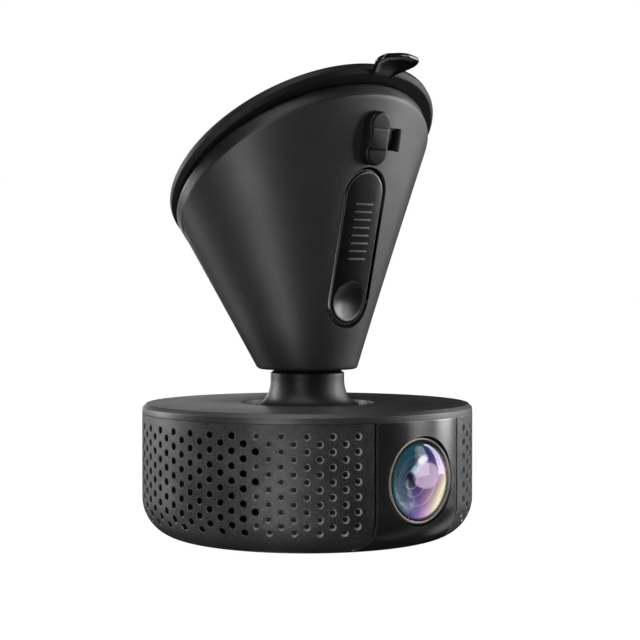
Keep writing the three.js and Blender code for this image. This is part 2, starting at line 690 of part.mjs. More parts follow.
// A flat tongue that widens outwards and leans away from the glass.
function pullTab() {
  const outline = new THREE.Shape();
  outline.moveTo(-TAB_NECK, -30);
  outline.lineTo(-TAB_NECK, -33.8);
  outline.lineTo(-TAB_HALF_WIDTH, -38);
  outline.quadraticCurveTo(-TAB_HALF_WIDTH, -39.6, -3.6, -40.4);
  outline.quadraticCurveTo(0, -41.5, 3.6, -40.4);
  outline.quadraticCurveTo(TAB_HALF_WIDTH, -39.6, TAB_HALF_WIDTH, -38);
  outline.lineTo(TAB_NECK, -33.8);
  outline.lineTo(TAB_NECK, -30);
  const tab = new THREE.ExtrudeGeometry(outline, { depth: TAB_THICKNESS, bevelEnabled: false, curveSegments: 6 });
  const lean = new THREE.Matrix4().makeRotationX(TAB_LEAN);
  return tab.translate(0, 32, 0).applyMatrix4(lean).translate(0, -32, 0.4);
}

function suctionCup() {
  const disc = turned([
    [11.5, -0.4],
    [14, -0.4],
    [14, 0.4],
    [CUP_RADIUS - 0.8, 0.4],
    [CUP_RADIUS, 1.2],
    [CUP_RADIUS, CUP_FACE - 0.6],
    [CUP_RADIUS - 0.6, CUP_FACE],
    [27, CUP_FACE],
    [20, CUP_FACE - 0.4],
    [0, CUP_FACE - 0.5],
    [0, 2],
    [11.5, 2],
  ]).translate(0, -CUP_SHIFT, 0);
  return join(disc, pullTab());
}

function cupSeat() {
  const plate = turned([
    [SHAFT_RADIUS + 0.4, SEAT_LOW],
    [28, SEAT_LOW],
    [28, SEAT_HIGH],
    [SHAFT_RADIUS + 0.4, SEAT_HIGH],
  ]);
  const holes = seatScrewSpots().map(([x, y]) => rod(1.5, -4, 0, x, y));
  const headRooms = seatScrewSpots().map(([x, y]) => rod(2.9, SEAT_HIGH - 1, 0, x, y));
  return cut(plate, ...holes, ...headRooms);
}

function plunger() {
  return turned(
    [
      [0, -16.2],
      [2.2, -16.2],
      [2.2, FOLLOWER_HIGH + 0.3],
      [SHAFT_RADIUS, FOLLOWER_HIGH + 0.3],
      [SHAFT_RADIUS, -0.4],
      [9, -0.4],
      [9, 0.6],
      [0, 0.6],
    ],
    28,
  );
}

function camFollower() {
  const plate = box([-3, 3], [-7.6, 4.4], [FOLLOWER_HIGH - 2.2, FOLLOWER_HIGH]);
  const wide = rod(5.4, FOLLOWER_HIGH - 2.2, FOLLOWER_HIGH);
  return cut(join(plate, wide), rod(2.5, -20, 0));
}

function seatScrew() {
  return turned([[0, -7.5], [1.1, -7.5], [1.1, -1.3], [2.5, -1.3], [2.5, 0], [0, 0]], SMALL_TURN_STEPS);
}

function coilSpring(radius, wire, low, high, turns) {
  const points = Array.from({ length: turns * 10 + 1 }, (_, i) => {
    const angle = (i / 10) * 2 * Math.PI;
    const height = low + ((high - low) * i) / (turns * 10);
    return new THREE.Vector3(radius * Math.cos(angle), radius * Math.sin(angle), height);
  });
  const section = new THREE.Shape().absarc(0, 0, wire, 0, 2 * Math.PI, false);
  const options = { steps: turns * 10, curveSegments: 6, extrudePath: new THREE.CatmullRomCurve3(points) };
  return new THREE.ExtrudeGeometry(section, options);
}

add(cupSide, "suction_cup", suctionCup(), RUBBER);
add(cupSide, "cup_seat", cupSeat(), CHARCOAL);
add(cupSide, "plunger", plunger(), NYLON);
add(cupSide, "cam_follower", camFollower(), STEEL);
const clipOutline = [[2.5, -15.8], [5, -15.8], [5, -14.8], [2.5, -14.8]];
add(cupSide, "retaining_clip", turned(clipOutline, SMALL_TURN_STEPS), STEEL);
add(cupSide, "plunger_spring", coilSpring(4.7, 0.45, SEAT_LOW - 0.9, FOLLOWER_HIGH + 0.9, 4), STEEL);
seatScrewSpots().forEach(([x, y], i) => {
  add(cupSide, `seat_screw_${i + 1}`, seatScrew(), STEEL).position.set(x, y, 0);
});

export default dashCamera;
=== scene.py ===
"""Looks of the dash camera: fine surfaces, materials, light and the camera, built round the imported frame.

Lengths are in millimetres until a mesh is made. +Z is up and the lens and the lever face -Y.
"""

import math

import bmesh
import bpy
import numpy as np
from mathutils import Matrix, Vector
from mathutils.bvhtree import BVHTree
from mathutils.interpolate import poly_3d_calc


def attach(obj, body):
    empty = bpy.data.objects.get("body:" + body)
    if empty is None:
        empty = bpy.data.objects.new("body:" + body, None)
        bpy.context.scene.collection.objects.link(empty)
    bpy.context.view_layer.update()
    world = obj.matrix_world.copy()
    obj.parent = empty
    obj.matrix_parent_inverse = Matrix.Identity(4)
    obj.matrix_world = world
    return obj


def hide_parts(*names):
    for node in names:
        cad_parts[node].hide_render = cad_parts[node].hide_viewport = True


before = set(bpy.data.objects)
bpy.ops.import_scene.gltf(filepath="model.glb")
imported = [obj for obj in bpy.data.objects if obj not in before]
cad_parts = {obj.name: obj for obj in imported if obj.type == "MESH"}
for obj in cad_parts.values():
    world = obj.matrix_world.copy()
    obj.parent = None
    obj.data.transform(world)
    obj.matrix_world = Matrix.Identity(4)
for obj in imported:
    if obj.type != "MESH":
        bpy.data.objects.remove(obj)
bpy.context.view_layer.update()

MM = 0.001

# ---------- camera body ----------
BODY_RADIUS = 37.5
BODY_HEIGHT = 30.0
BASE_ROUND = 9.0
WALL = 2.0
BASE_RIM = 31.3
SHELL_TOP = 27.9
FASCIA_HALF_ANGLE = 19.2
RECESS_RADIUS = 15.0
RECESS_FLOOR = 28.5
SEAM_GAP = 0.42
SEAM_CORNER = 6.9  # radius of the seam's lower corner, along the surface
SCREW_CIRCLE = 25.0
PORT_HEIGHT = 11.0
CARD_X = 7.0
SOCKET_X = -11.0
RESET_X = -2.5
BUTTON_HEIGHT = 19.6
BUTTON_RADIUS = 4.0

# ---------- perforation ----------
HOLE_RADIUS = 0.775
FIRST_COLUMN = 24.8  # degrees from the lens to the first column of holes
COLUMN_STEP = 4.137
COLUMNS = 30  # on each side
HOLE_PITCH = 3.127  # down the side, within a column
FIRST_HOLE = 2.6  # below the top of the shell
HOLES_IN_COLUMN = 7
BLIND_COLUMNS = 8  # columns next to the lens whose holes are only dimples
CELL = 6  # grid steps across one hole's cell

# ---------- lens ----------
LENS_HEIGHT = 15.1
BEZEL_RADIUS = 9.25
BEZEL_FRONT = 36.4
DOME_RADIUS = 8.42
BOWL_RADIUS = 8.3
BOWL_DEPTH = 2.9

# ---------- neck and cone ----------
NECK_RADIUS = 8.4
FOOT_RADIUS = 11.8
FOOT_LOW = 28.8
NECK_TOP = 37.3
CONE_BASE_RADIUS = 11.3
CONE_BASE_HEIGHT = 37.64
CONE_OPENING = 10.3
CONE_WALL = 1.8
CUP_TILT = math.radians(36.2)
RIM_RADIUS = 30.6
RIM_CENTRE = Vector((0, 1.8, 82.15))
RIM_BAND = 3.0
CREASE_RADIUS = 30.2
CUP_RADIUS = 32.25
CUP_SHIFT = 1.97
CUP_FACE = 3.2

# ---------- lever and clip, on the front line of the cone ----------
SLOT_RADIUS = 6.2
SLOT_LOW = 15.8
SLOT_HIGH = 39.6
LEVER_GAP = 0.5
LEVER_INSET = 0.3
LEVER_BACK = -2.6
PIVOT_ALONG = 38.5
PIVOT_DEPTH = 3.2
CLIP_ALONG = 52.2
CLIP_ACROSS = -0.7
CLIP_HALF_WIDTH = 3.1
CLIP_LENGTH = 11.9
CLIP_HEIGHT = 2.2
HOOK_HALF_HEIGHT = 2.5
HOOK_REACH = 5.7

# ---------- pull tab of the suction cup ----------
TAB_NECK = 3.3
TAB_HALF_WIDTH = 5.9
TAB_LEAN = math.radians(11)

QUARTER = math.pi / 2


# ---------- mesh helpers ----------
EDGE_FROM = 0.10  # radians by which a face bends away from its neighbours before it counts as an edge, for wear and for a painted highlight
EDGE_SPAN = 0.25
SAME_PLACE = 4e-5  # metres within which a point lies on the surface it was cut from


class Shape:
    """Points and the faces between them. Points at the same place become one point."""

    def __init__(self):
        self.index = {}
        self.points = []
        self.faces = []
        self.looks = []

    def vertex(self, point):
        key = tuple(round(c * 1e4) for c in point)
        if key not in self.index:
            self.index[key] = len(self.points)
            self.points.append(tuple(float(c) for c in point))
        return self.index[key]

    def face(self, corners, look=0):
        ids = list(dict.fromkeys(self.vertex(p) for p in corners))
        if len(ids) > 2:
            self.faces.append(ids)
            self.looks.append(look)

    def rings(self, rows, look=0):
        """Faces between each closed ring of points and the next."""
        for low, high in zip(rows, rows[1:]):
            for i in range(len(low)):
                j = (i + 1) % len(low)
                self.face([low[i], low[j], high[j], high[i]], look)
        return self

    def add(self, other, place=None):
        points = [place @ Vector(p) for p in other.points] if place else other.points
        for face, look in zip(other.faces, other.looks):
            self.face([points[i] for i in face], look)
        return self


def around(radius, angle, x=0.0, y=0.0):
    return (x + radius * math.cos(angle), y + radius * math.sin(angle))


def evenly(start, end, count):
    """Equal steps from start, which is left out, to end."""
    return [start + (end - start) * k / count for k in range(1, count + 1)]


def rounded(outline, steps=5):
    """The outline with each corner given as (a, b, radius) rounded off."""
    points = []
    for i, corner in enumerate(outline):
        here = np.array(corner[:2], float)
        radius = corner[2] if len(corner) > 2 else 0
        if radius == 0:
            points.append(tuple(here))
            continue
        back = np.array(outline[i - 1][:2], float) - here
        ahead = np.array(outline[(i + 1) % len(outline)][:2], float) - here
        back /= np.linalg.norm(back)
        ahead /= np.linalg.norm(ahead)
        half = math.acos(max(-1.0, min(1.0, float(back @ ahead)))) / 2
        middle = back + ahead
        centre = here + middle / np.linalg.norm(middle) * radius / math.sin(half)
        start = here + back * radius / math.tan(half) - centre
        end = here + ahead * radius / math.tan(half) - centre
        first = math.atan2(start[1], start[0])
        turn = (math.atan2(end[1], end[0]) - first + math.pi) % (2 * math.pi) - math.pi
        points += [around(radius, first + turn * k / steps, *centre) for k in range(steps + 1)]
    return points


def rectangle(x, y, radius=0, steps=5):
    """Outline of a rectangle with rounded corners, counter-clockwise."""
    corners = [(x[0], y[0]), (x[1], y[0]), (x[1], y[1]), (x[0], y[1])]
    return rounded([(*corner, radius) for corner in corners], steps)


def stadium(radius, low, high, steps=40, x=0.0, along=1):
    """Outline of a bar with two round ends along Y, counter-clockwise, its sides cut into `along` parts."""
    points = []
    for centre, other, start in ((low, high, math.pi), (high, low, 0.0)):
        points += [around(radius, start + math.pi * k / steps, x, centre) for k in range(steps + 1)]
        side = points[-1][0]
        points += [(side, centre + (other - centre) * k / along) for k in range(1, along)]
    return points


def turned(profile, steps=192, corner_steps=5):
    """A profile of (radius, height, rounding) turned round Z, from axis to axis or closed on itself."""
    angles = [2 * math.pi * i / steps for i in range(steps)]
    outline = rounded(profile, corner_steps)
    rows = [[(r * math.cos(a), r * math.sin(a), z) for a in angles] for r, z in outline]
    if profile[0][0] > 1e-6:
        rows.append(rows[0])
    return Shape().rings(rows)


def capped(rows):
    """A closed shape from a stack of rings, with a face on the first and on the last."""
    shape = Shape().rings(rows)
    shape.face(rows[0])
    shape.face(rows[-1])
    return shape


def extruded(outline, low, high, bevel=0.0, steps=3):
    """A flat counter-clockwise outline standing from low to high, its top edge rounded by bevel."""
    flat = np.array(outline, float)
    ahead = np.roll(flat, -1, 0) - flat
    ahead /= np.linalg.norm(ahead, axis=1)[:, None]
    side = np.stack([-ahead[:, 1], ahead[:, 0]], 1)
    inward = side + np.roll(side, 1, 0)
    inward /= (inward * side).sum(1)[:, None]
    rows = [[(x, y, low) for x, y in flat]]
    for k in range(steps + 1):
        turn = QUARTER * k / steps
        level = flat + inward * bevel * (1 - math.cos(turn))
        height = high - bevel + bevel * math.sin(turn)
        rows.append([(x, y, height) for x, y in level])
    return capped(rows)


def block(x, y, z, bevel, steps=3):
    """A box with all its edges rounded."""
    flat = np.array(rectangle(x, y, bevel, steps))
    centre = flat.mean(0)
    half = np.abs(flat - centre).max(0)
    lows = []
    for k in range(steps + 1):
        turn = QUARTER * k / steps
        inset = bevel * (1 - math.sin(turn))
        height = z[0] + bevel * (1 - math.cos(turn))
        lows.append([(*(centre + (p - centre) * (1 - inset / half)), height) for p in flat])
    highs = [[(px, py, z[0] + z[1] - pz) for px, py, pz in row] for row in reversed(lows)]
    return capped(lows + highs)


def placed(name, data):
    """A new object in the scene."""
    made = bpy.data.objects.new(name, data)
    bpy.context.scene.collection.objects.link(made)
    return made


def mesh_of(name, shape, place=None):
    """The shape as a mesh in metres, all its faces turned outwards."""
    mesh = bpy.data.meshes.new(name)
    points = [place @ Vector(p) for p in shape.points] if place else [Vector(p) for p in shape.points]
    mesh.from_pydata([p * MM for p in points], [], shape.faces)
    mesh.polygons.foreach_set("material_index", shape.looks)
    work = bmesh.new()
    work.from_mesh(mesh)
    bmesh.ops.recalc_face_normals(work, faces=work.faces)
    work.to_mesh(mesh)
    work.free()
    return mesh


def mark_edges(mesh):
    """Stores on each face how far it is an outer edge: a narrow face bent away from both its neighbours."""
    work = bmesh.new()
    work.from_mesh(mesh)
    worn_and_lit = []
    for face in work.faces:
        bends = sorted((edge.calc_face_angle_signed(0.0) for edge in face.edges), reverse=True)
        worn_and_lit.append(max(0.0, min(1.0, (bends[1] - EDGE_FROM) / EDGE_SPAN)))
    work.free()
    mesh.attributes.new("edge", "FLOAT", "FACE").data.foreach_set("value", worn_and_lit)


def soften(mesh, sharp):
    mesh.shade_smooth()
    mesh.set_sharp_from_angle(angle=math.radians(sharp))


def make(name, shape, looks, body, slot, *nodes, place=None, sharp=38):
    """A shown piece: its mesh, its materials, the body it rides on and the CAD nodes it stands for."""
    mesh = mesh_of(name, shape, place)
    mark_edges(mesh)
    soften(mesh, sharp)
    for look in looks:
        mesh.materials.append(look)
    piece = placed(name, mesh)
    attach(piece, body)
    if nodes:
        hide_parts(*nodes)
    return piece


def corner_normals(mesh):
    normals = np.zeros(len(mesh.loops) * 3, np.float32)
    mesh.corner_normals.foreach_get("vector", normals)
    return normals.reshape(-1, 3)


def keep_shading(mesh, before):
    """Gives what is left of the surfaces of `before` the shading that they had there."""
    corners = [v.co.copy() for v in before.vertices]
    tree = BVHTree.FromPolygons(corners, [tuple(p.vertices) for p in before.polygons])
    old, now = corner_normals(before), corner_normals(mesh)
    for polygon in mesh.polygons:
        _, _, index, distance = tree.find_nearest(polygon.center)
        if index is None or distance > SAME_PLACE or before.polygons[index].normal.dot(polygon.normal) < 0.9:
            continue
        for loop in polygon.loop_indices:
            spot = mesh.vertices[mesh.loops[loop].vertex_index].co.lerp(polygon.center, 0.02)
            near, _, index, distance = tree.find_nearest(spot)
            face = before.polygons[index]
            if distance > SAME_PLACE or face.normal.dot(polygon.normal) < 0.85:
                continue
            weights = poly_3d_calc([corners[v] for v in face.vertices], near)
            mixed = sum((w * old[k] for w, k in zip(weights, face.loop_indices)), np.zeros(3))
            now[loop] = mixed / max(np.linalg.norm(mixed), 1e-9)
    mesh.normals_split_custom_set([tuple(n) for n in now])


def carve(piece, steps, sharp=38):
    """Runs (operation, shape, place) steps on the piece with exact booleans, and keeps its shading."""
    before = piece.data
    for operation, shape, place in steps:
        tool = placed("tool", mesh_of("tool", shape, place))
        modifier = piece.modifiers.new("step", "BOOLEAN")
        modifier.operation = operation
        modifier.solver = "EXACT"
        modifier.object = tool
        bpy.context.view_layer.update()
        graph = bpy.context.evaluated_depsgraph_get()
        result = bpy.data.meshes.new_from_object(piece.evaluated_get(graph))
        piece.modifiers.clear()
        piece.data = result
        bpy.data.objects.remove(tool)
    if "edge" in piece.data.attributes:
        piece.data.attributes.remove(piece.data.attributes["edge"])
    mark_edges(piece.data)
    soften(piece.data, sharp)
    keep_shading(piece.data, before)


def shade_side(mesh):
    """Exact round shading for the faces that lie on the outside of the body's side."""
    co = np.zeros(len(mesh.vertices) * 3, np.float32)
    mesh.vertices.foreach_get("co", co)
    co = co.reshape(-1, 3) / MM
    radius = np.hypot(co[:, 0], co[:, 1])
    high = co[:, 2] >= BASE_ROUND
    out = np.where(high, 1.0, radius - (BODY_RADIUS - BASE_ROUND))
    up = np.where(high, 0.0, co[:, 2] - BASE_ROUND)
    length = np.hypot(out, up)
    outer = np.where(high, np.abs(radius - BODY_RADIUS) < 0.01, np.abs(length - BASE_ROUND) < 0.01)
    exact = np.stack([co[:, 0] / radius * out / length, co[:, 1] / radius * out / length, up / length], 1)
    now = corner_normals(mesh)
    for polygon in mesh.polygons:
        ids = list(polygon.vertices)
        if outer[ids].all() and exact[ids].mean(0) @ np.array(polygon.normal) > 0.95:
            now[list(polygon.loop_indices)] = exact[ids]
    mesh.normals_split_custom_set([tuple(n) for n in now])


# ---------- places ----------
cup_place = Matrix.Translation(RIM_CENTRE) @ Matrix.Rotation(-CUP_TILT, 4, "X")
crease_front = cup_place @ Vector((0, -CREASE_RADIUS, -RIM_BAND))
cone_front = Vector((0, -CONE_BASE_RADIUS, CONE_BASE_HEIGHT))
FRONT_LEAN = math.atan2(cone_front.y - crease_front.y, crease_front.z - cone_front.z)
front_place = Matrix.Translation(cone_front) @ Matrix.Rotation(QUARTER + FRONT_LEAN, 4, "X")
lens_place = Matrix.Translation((0, 0, LENS_HEIGHT)) @ Matrix.Rotation(QUARTER, 4, "X")
rear_place = Matrix.Rotation(-QUARTER, 4, "X")


# ---------- materials ----------
def color_of(shade):
    """A colour as it stands, or the grey of a level."""
    return (*shade, 1) if isinstance(shade, tuple) else (shade, shade, shade * 1.02, 1)


class Nodes:
    """Short names for building one material's node tree."""

    def __init__(self, name):
        self.material = bpy.data.materials.new(name)
        self.material.use_nodes = True
        self.tree = self.material.node_tree
        self.shader = self.tree.nodes["Principled BSDF"]
        self.place = self.node("TexCoord", {}, "Object")

    def feed(self, socket, value):
        """Links another node's output to the socket, or sets the socket's value."""
        if isinstance(value, bpy.types.NodeSocket):
            self.tree.links.new(value, socket)
        else:
            socket.default_value = color_of(value) if socket.type == "RGBA" else value

    def node(self, kind, inputs, output=0, **settings):
        """One output of a new node whose inputs are fed."""
        made = self.tree.nodes.new(f"ShaderNode{kind}")
        for key, value in settings.items():
            setattr(made, key, value)
        for key, value in inputs.items():
            self.feed(made.inputs[key], value)
        return made.outputs[output]

    def finish(self, inputs):
        """The material, with these inputs of its shader fed."""
        for key, value in inputs.items():
            self.feed(self.shader.inputs[key], value)
        return self.material

    def parts(self):
        return self.node("SeparateXYZ", {0: self.place}).node.outputs

    def edge(self):
        return self.node("Attribute", {}, "Fac", attribute_name="edge")

    def math(self, operation, a, b=0.5):
        return self.node("Math", {0: a, 1: b}, operation=operation)

    def length(self, x, y):
        return self.math("SQRT", self.math("ADD", self.math("POWER", x, 2.0), self.math("POWER", y, 2.0)))

    def blend(self, a, b, share):
        """A sum with the given share of a and the rest of b."""
        return self.math("ADD", self.math("MULTIPLY", a, share), self.math("MULTIPLY", b, 1 - share))

    def noise(self, scale, detail=3.0, roughness=0.55, at=None):
        inputs = {"Vector": at or self.place, "Scale": scale, "Detail": detail, "Roughness": roughness}
        return self.node("TexNoise", inputs, "Fac")

    def voronoi(self, scale, feature="F1"):
        return self.node("TexVoronoi", {"Vector": self.place, "Scale": scale}, "Distance", feature=feature)

    def spread(self, source, low, high, start=0.3, end=0.7):
        inputs = {"Value": source, "From Min": start, "From Max": end, "To Min": low, "To Max": high}
        return self.node("MapRange", inputs, "Result")

    def ramp(self, source, stops):
        color = self.node("ValToRGB", {"Fac": source}, "Color")
        elements = color.node.color_ramp.elements
        while len(elements) < len(stops):
            elements.new(0.5)
        for element, (position, shade) in zip(elements, stops):
            element.position = position
            element.color = color_of(shade)
        return color

    def mix(self, factor, a, b, blend="MIX"):
        return self.node("Mix", {"Factor": factor, 6: a, 7: b}, 2, data_type="RGBA", blend_type=blend)

    def bump(self, height, strength, distance):
        return self.node("Bump", {"Height": height, "Strength": strength, "Distance": distance}, "Normal")


def surface(
    name, dark, light, roughness, grain, bump, metallic=0.0, rough_spread=0.05, wear_and_highlight=None, spotted=0.0,
    specular=0.5, coat=0.0,
):
    """A moulded or painted surface: fine grain, slow change of colour and gloss, and edges lightened partly
    as wear and partly as a painted highlight.
    """
    n = Nodes(name)
    fine = n.noise(grain, 2.0)
    color = n.ramp(n.blend(n.noise(90.0, 4.0), fine, 0.5), [(0.38, dark), (0.62, light)])
    if wear_and_highlight is not None:
        # Edges lightened: partly wear, partly a painted highlight along the bevels.
        worn_and_lit = n.math("MULTIPLY", n.edge(), n.spread(n.noise(420.0, 3.0), 0.3, 1.0))
        color = n.mix(worn_and_lit, color, wear_and_highlight)
    rough = n.spread(n.noise(60.0, 5.0, 0.7), roughness - rough_spread, roughness + rough_spread)
    return n.finish({
        "Base Color": color, "Roughness": n.math("ADD", rough, n.math("MULTIPLY", fine, spotted)),
        "Metallic": metallic, "Specular IOR Level": specular, "Coat Weight": coat,
        "Normal": n.bump(fine, bump, 0.00008),
    })


def turned_metal(name, dark, light, roughness):
    """Dark anodised metal turned on a lathe: fine rings round the body's axis."""
    n = Nodes(name)
    x, y, z = n.parts()
    turning = n.node("CombineXYZ", {0: n.length(x, y), 1: z, 2: n.math("MULTIPLY", n.noise(30.0), 0.004)})
    rings = n.noise(5200.0, 2.0, 0.6, turning)
    slow = n.noise(70.0, 3.0)
    color = n.ramp(n.blend(n.noise(900.0, 2.0, 0.6, turning), slow, 0.6), [(0.3, dark), (0.7, light)])
    # Edges lightened towards 0.3: a painted highlight along the turned bevels.
    return n.finish({
        "Base Color": n.mix(n.math("MULTIPLY", n.edge(), 0.5), color, 0.3), "Metallic": 0.75,
        "Roughness": n.spread(n.blend(rings, slow, 0.5), roughness - 0.06, roughness + 0.06),
        "Normal": n.bump(rings, 0.25, 0.00003),
    })


def coated_glass(name, mirroring):
    """Clear front glass with a faint film of dust. Its coating leaves it a small share of its mirroring."""
    n = Nodes(name)
    gloss = n.node("BsdfGlossy", {
        "Roughness": n.spread(n.noise(500.0, 4.0), 0.015, 0.04),
        "Normal": n.bump(n.noise(300.0, 1.0), 0.02, 0.00002),
    })
    fresnel = n.node("Fresnel", {"IOR": 1.5})
    clear = n.node("BsdfTransparent", {})
    glass = n.node("MixShader", {0: n.math("MULTIPLY", fresnel, mirroring), 1: clear, 2: gloss})
    n.feed(n.tree.nodes["Material Output"].inputs[0], glass)
    return n.material


def lens_painted_light(name, reach, glow):
    """The glass behind the front dome, with its coating reflections painted on as a glowing colour: teal,
    violet and cream across, thin bright circles, painted highlights and a dark pupil of painted shade.

    Places on it are in shares of its radius, across and up from its centre.
    """
    n = Nodes(name)
    x, _, z = n.parts()
    across = n.math("DIVIDE", x, reach * MM)
    up = n.math("DIVIDE", n.math("SUBTRACT", z, LENS_HEIGHT * MM), reach * MM)
    radius = n.length(across, up)

    def spot(color, tint, right, above, strength, start, end):
        """The colour with a round tinted spot that fades out between two radii, used for painted reflections,
        painted highlights and the pupil's painted shade.
        """
        away = n.length(n.math("SUBTRACT", across, right), n.math("SUBTRACT", up, above))
        return n.mix(n.spread(away, strength, 0.0, start, end), color, tint)

    cloud = n.noise(160.0, 2.0)
    lean = n.math("SUBTRACT", n.math("MULTIPLY", across, 0.85), n.math("MULTIPLY", up, 0.45))
    reflection_sweep = n.spread(n.math("ADD", lean, n.math("MULTIPLY", cloud, 0.16)), 0.0, 1.0, -0.92, 1.08)
    # Painted reflections: the coating's coloured reflections swept across the element.
    color = n.ramp(reflection_sweep, [
        (0.0, (0.006, 0.028, 0.035)), (0.25, (0.008, 0.050, 0.070)), (0.43, (0.010, 0.035, 0.080)),
        (0.56, (0.045, 0.035, 0.15)), (0.67, (0.15, 0.085, 0.26)), (0.77, (0.34, 0.20, 0.35)),
        (0.85, (0.50, 0.36, 0.38)), (0.92, (0.66, 0.62, 0.42)), (1.0, (0.46, 0.43, 0.27)),
    ])
    # Painted ring reflections multiplied in, with painted shade towards the rim and the middle.
    circles = n.ramp(radius, [
        (0.0, 0.15), (0.20, 0.25), (0.23, 1.0), (0.27, 0.42), (0.40, 0.5), (0.42, 0.95), (0.45, 0.5),
        (0.63, 0.7), (0.65, 1.0), (0.68, 0.62), (0.84, 0.95), (0.93, 1.0), (0.965, 0.25), (1.0, 0.05),
    ])
    color = n.mix(1.0, color, circles, "MULTIPLY")
    # Thin bright circles added: painted glints of the lens's inner rings.
    thin = n.ramp(radius, [
        (0.0, 0), (0.215, 0), (0.235, (0.05, 0.10, 0.13)), (0.255, 0), (0.41, 0), (0.425, (0.03, 0.06, 0.09)),
        (0.44, 0), (0.64, 0), (0.655, (0.03, 0.05, 0.08)), (0.67, 0),
    ])
    color = n.mix(1.0, color, thin, "ADD")
    color = spot(color, (0.56, 0.44, 0.58), 0.42, 0.09, 0.60, 0.31, 0.36)  # painted reflection of a window
    color = spot(color, (0.75, 0.70, 0.80), 0.24, 0.50, 0.85, 0.06, 0.18)  # painted bright highlight
    color = spot(color, (0.42, 0.55, 0.66), 0.12, 0.26, 0.55, 0.08, 0.17)  # painted small glint
    color = spot(color, (0.003, 0.005, 0.022), 0.0, 0.0, 0.8, 0.14, 0.20)  # dark pupil, painted shade
    # The element glows with its painted colour, though it is no lamp.
    return n.finish({
        "Base Color": color, "Emission Color": color, "Emission Strength": glow,
        "Specular IOR Level": 0.12, "Roughness": n.spread(cloud, 0.26, 0.36),
    })


def lever_black(name, centre, reach):
    """Gloss black all over with a painted highlight along its bevel, turning satin inside the thumb dish."""
    n = Nodes(name)
    away = n.node("VectorMath", {0: n.place, 1: centre * MM}, "Value", operation="DISTANCE")
    inside = n.spread(away, 1.0, 0.0, (reach - 0.1) * MM, (reach + 0.1) * MM)
    fine = n.noise(2500.0, 2.0)
    # Painted highlight: the bevel's faces lightened towards 0.40.
    black = n.mix(n.edge(), n.ramp(fine, [(0.38, 0.003), (0.62, 0.005)]), 0.40)
    rough = n.math("ADD", n.spread(n.noise(60.0, 5.0, 0.7), 0.19, 0.25), n.math("MULTIPLY", inside, 0.14))
    return n.finish({
        "Base Color": n.mix(inside, black, 0.008), "Roughness": rough, "Normal": n.bump(fine, 0.03, 0.00008),
    })


def board_green(name):
    """Solder resist over copper tracks, with pads."""
    n = Nodes(name)
    tracks = n.voronoi(480.0, "DISTANCE_TO_EDGE")
    base = n.ramp(tracks, [(0.0, (0.02, 0.16, 0.07)), (0.08, (0.006, 0.06, 0.03))])
    pads = n.spread(n.voronoi(620.0), 1.0, 0.0, 0.12, 0.16)
    return n.finish({
        "Base Color": n.mix(pads, base, (0.55, 0.42, 0.2)), "Roughness": n.spread(n.noise(300.0), 0.3, 0.5),
        "Normal": n.bump(tracks, 0.2, 0.00005),
    })


def cloth(name):
    """Fine dark woven cloth behind the holes."""
    n = Nodes(name)
    weave = n.voronoi(4200.0)
    return n.finish({
        "Base Color": n.ramp(weave, [(0.0, 0.006), (0.6, 0.0015)]), "Specular IOR Level": 0.1,
        "Roughness": n.spread(n.noise(400.0), 0.85, 1.0), "Normal": n.bump(weave, 0.4, 0.00006),
    })


# Edge lightening in these materials is partly wear and partly a painted highlight, as on the fascia's seam
# and the bevels of the gloss parts.
SHELL = surface("perforated_shell", 0.028, 0.095, 0.38, 3400.0, 0.7, metallic=0.6, spotted=0.15, wear_and_highlight=0.14)
# Painted light in the holes: dark through-hole walls and dimple floors as painted shade, bright dimple walls
# as a painted highlight.
HOLE_WALL_SHADE = surface("hole_wall_painted_shade", 0.004, 0.008, 0.7, 3400.0, 0.3, specular=0.2)
DIMPLE_WALL_HIGHLIGHT = surface("pit_edge", 0.34, 0.50, 0.40, 3400.0, 0.4, metallic=0.3)
DIMPLE_FLOOR_SHADE = surface("dimple_floor_painted_shade", 0.005, 0.012, 0.6, 3400.0, 0.5, specular=0.2)
LIP = turned_metal("turned_cover", 0.055, 0.09, 0.44)
FASCIA = surface("fascia", 0.016, 0.024, 0.22, 3400.0, 0.12, metallic=0.2, wear_and_highlight=0.05, specular=1.0)
CONE = surface("cone_plastic", 0.021, 0.029, 0.44, 3600.0, 0.22, wear_and_highlight=0.035)
BAND = surface("rim_band", 0.009, 0.014, 0.40, 3600.0, 0.2, wear_and_highlight=0.03)
NECK = surface("neck_metal", 0.012, 0.020, 0.40, 4200.0, 0.15, metallic=0.1, wear_and_highlight=0.03, specular=0.35)
CLIP_BLACK = surface("clip_black", 0.003, 0.006, 0.34, 3600.0, 0.18, wear_and_highlight=0.012, specular=0.2)
SATIN = surface("satin_black", 0.010, 0.015, 0.40, 3600.0, 0.18, wear_and_highlight=0.025)
GLOSS = surface("gloss_black", 0.003, 0.005, 0.14, 2500.0, 0.03, rough_spread=0.03, wear_and_highlight=0.12, coat=0.3)
RUBBER = surface("cup_rubber", 0.004, 0.008, 0.50, 2600.0, 0.15, wear_and_highlight=0.02, specular=0.25)
TAB = surface("tab_rubber", 0.004, 0.008, 0.16, 1800.0, 0.10, rough_spread=0.04)
GUNMETAL = surface("gunmetal", (0.15, 0.135, 0.12), (0.21, 0.19, 0.17), 0.34, 4000.0, 0.12, metallic=0.85)
STEEL = surface("steel", 0.50, 0.60, 0.28, 3000.0, 0.12, metallic=1.0)
DARK_STEEL = surface("dark_steel", 0.09, 0.14, 0.36, 3000.0, 0.15, metallic=1.0)
NYLON = surface("nylon", (0.62, 0.60, 0.55), (0.70, 0.68, 0.63), 0.45, 2200.0, 0.15)
FOIL = surface("foil", 0.42, 0.55, 0.22, 900.0, 0.25, metallic=0.9, spotted=0.1)
GUIDE = surface("light_guide", (0.44, 0.49, 0.52), (0.52, 0.57, 0.60), 0.22, 1800.0, 0.08, specular=0.6)
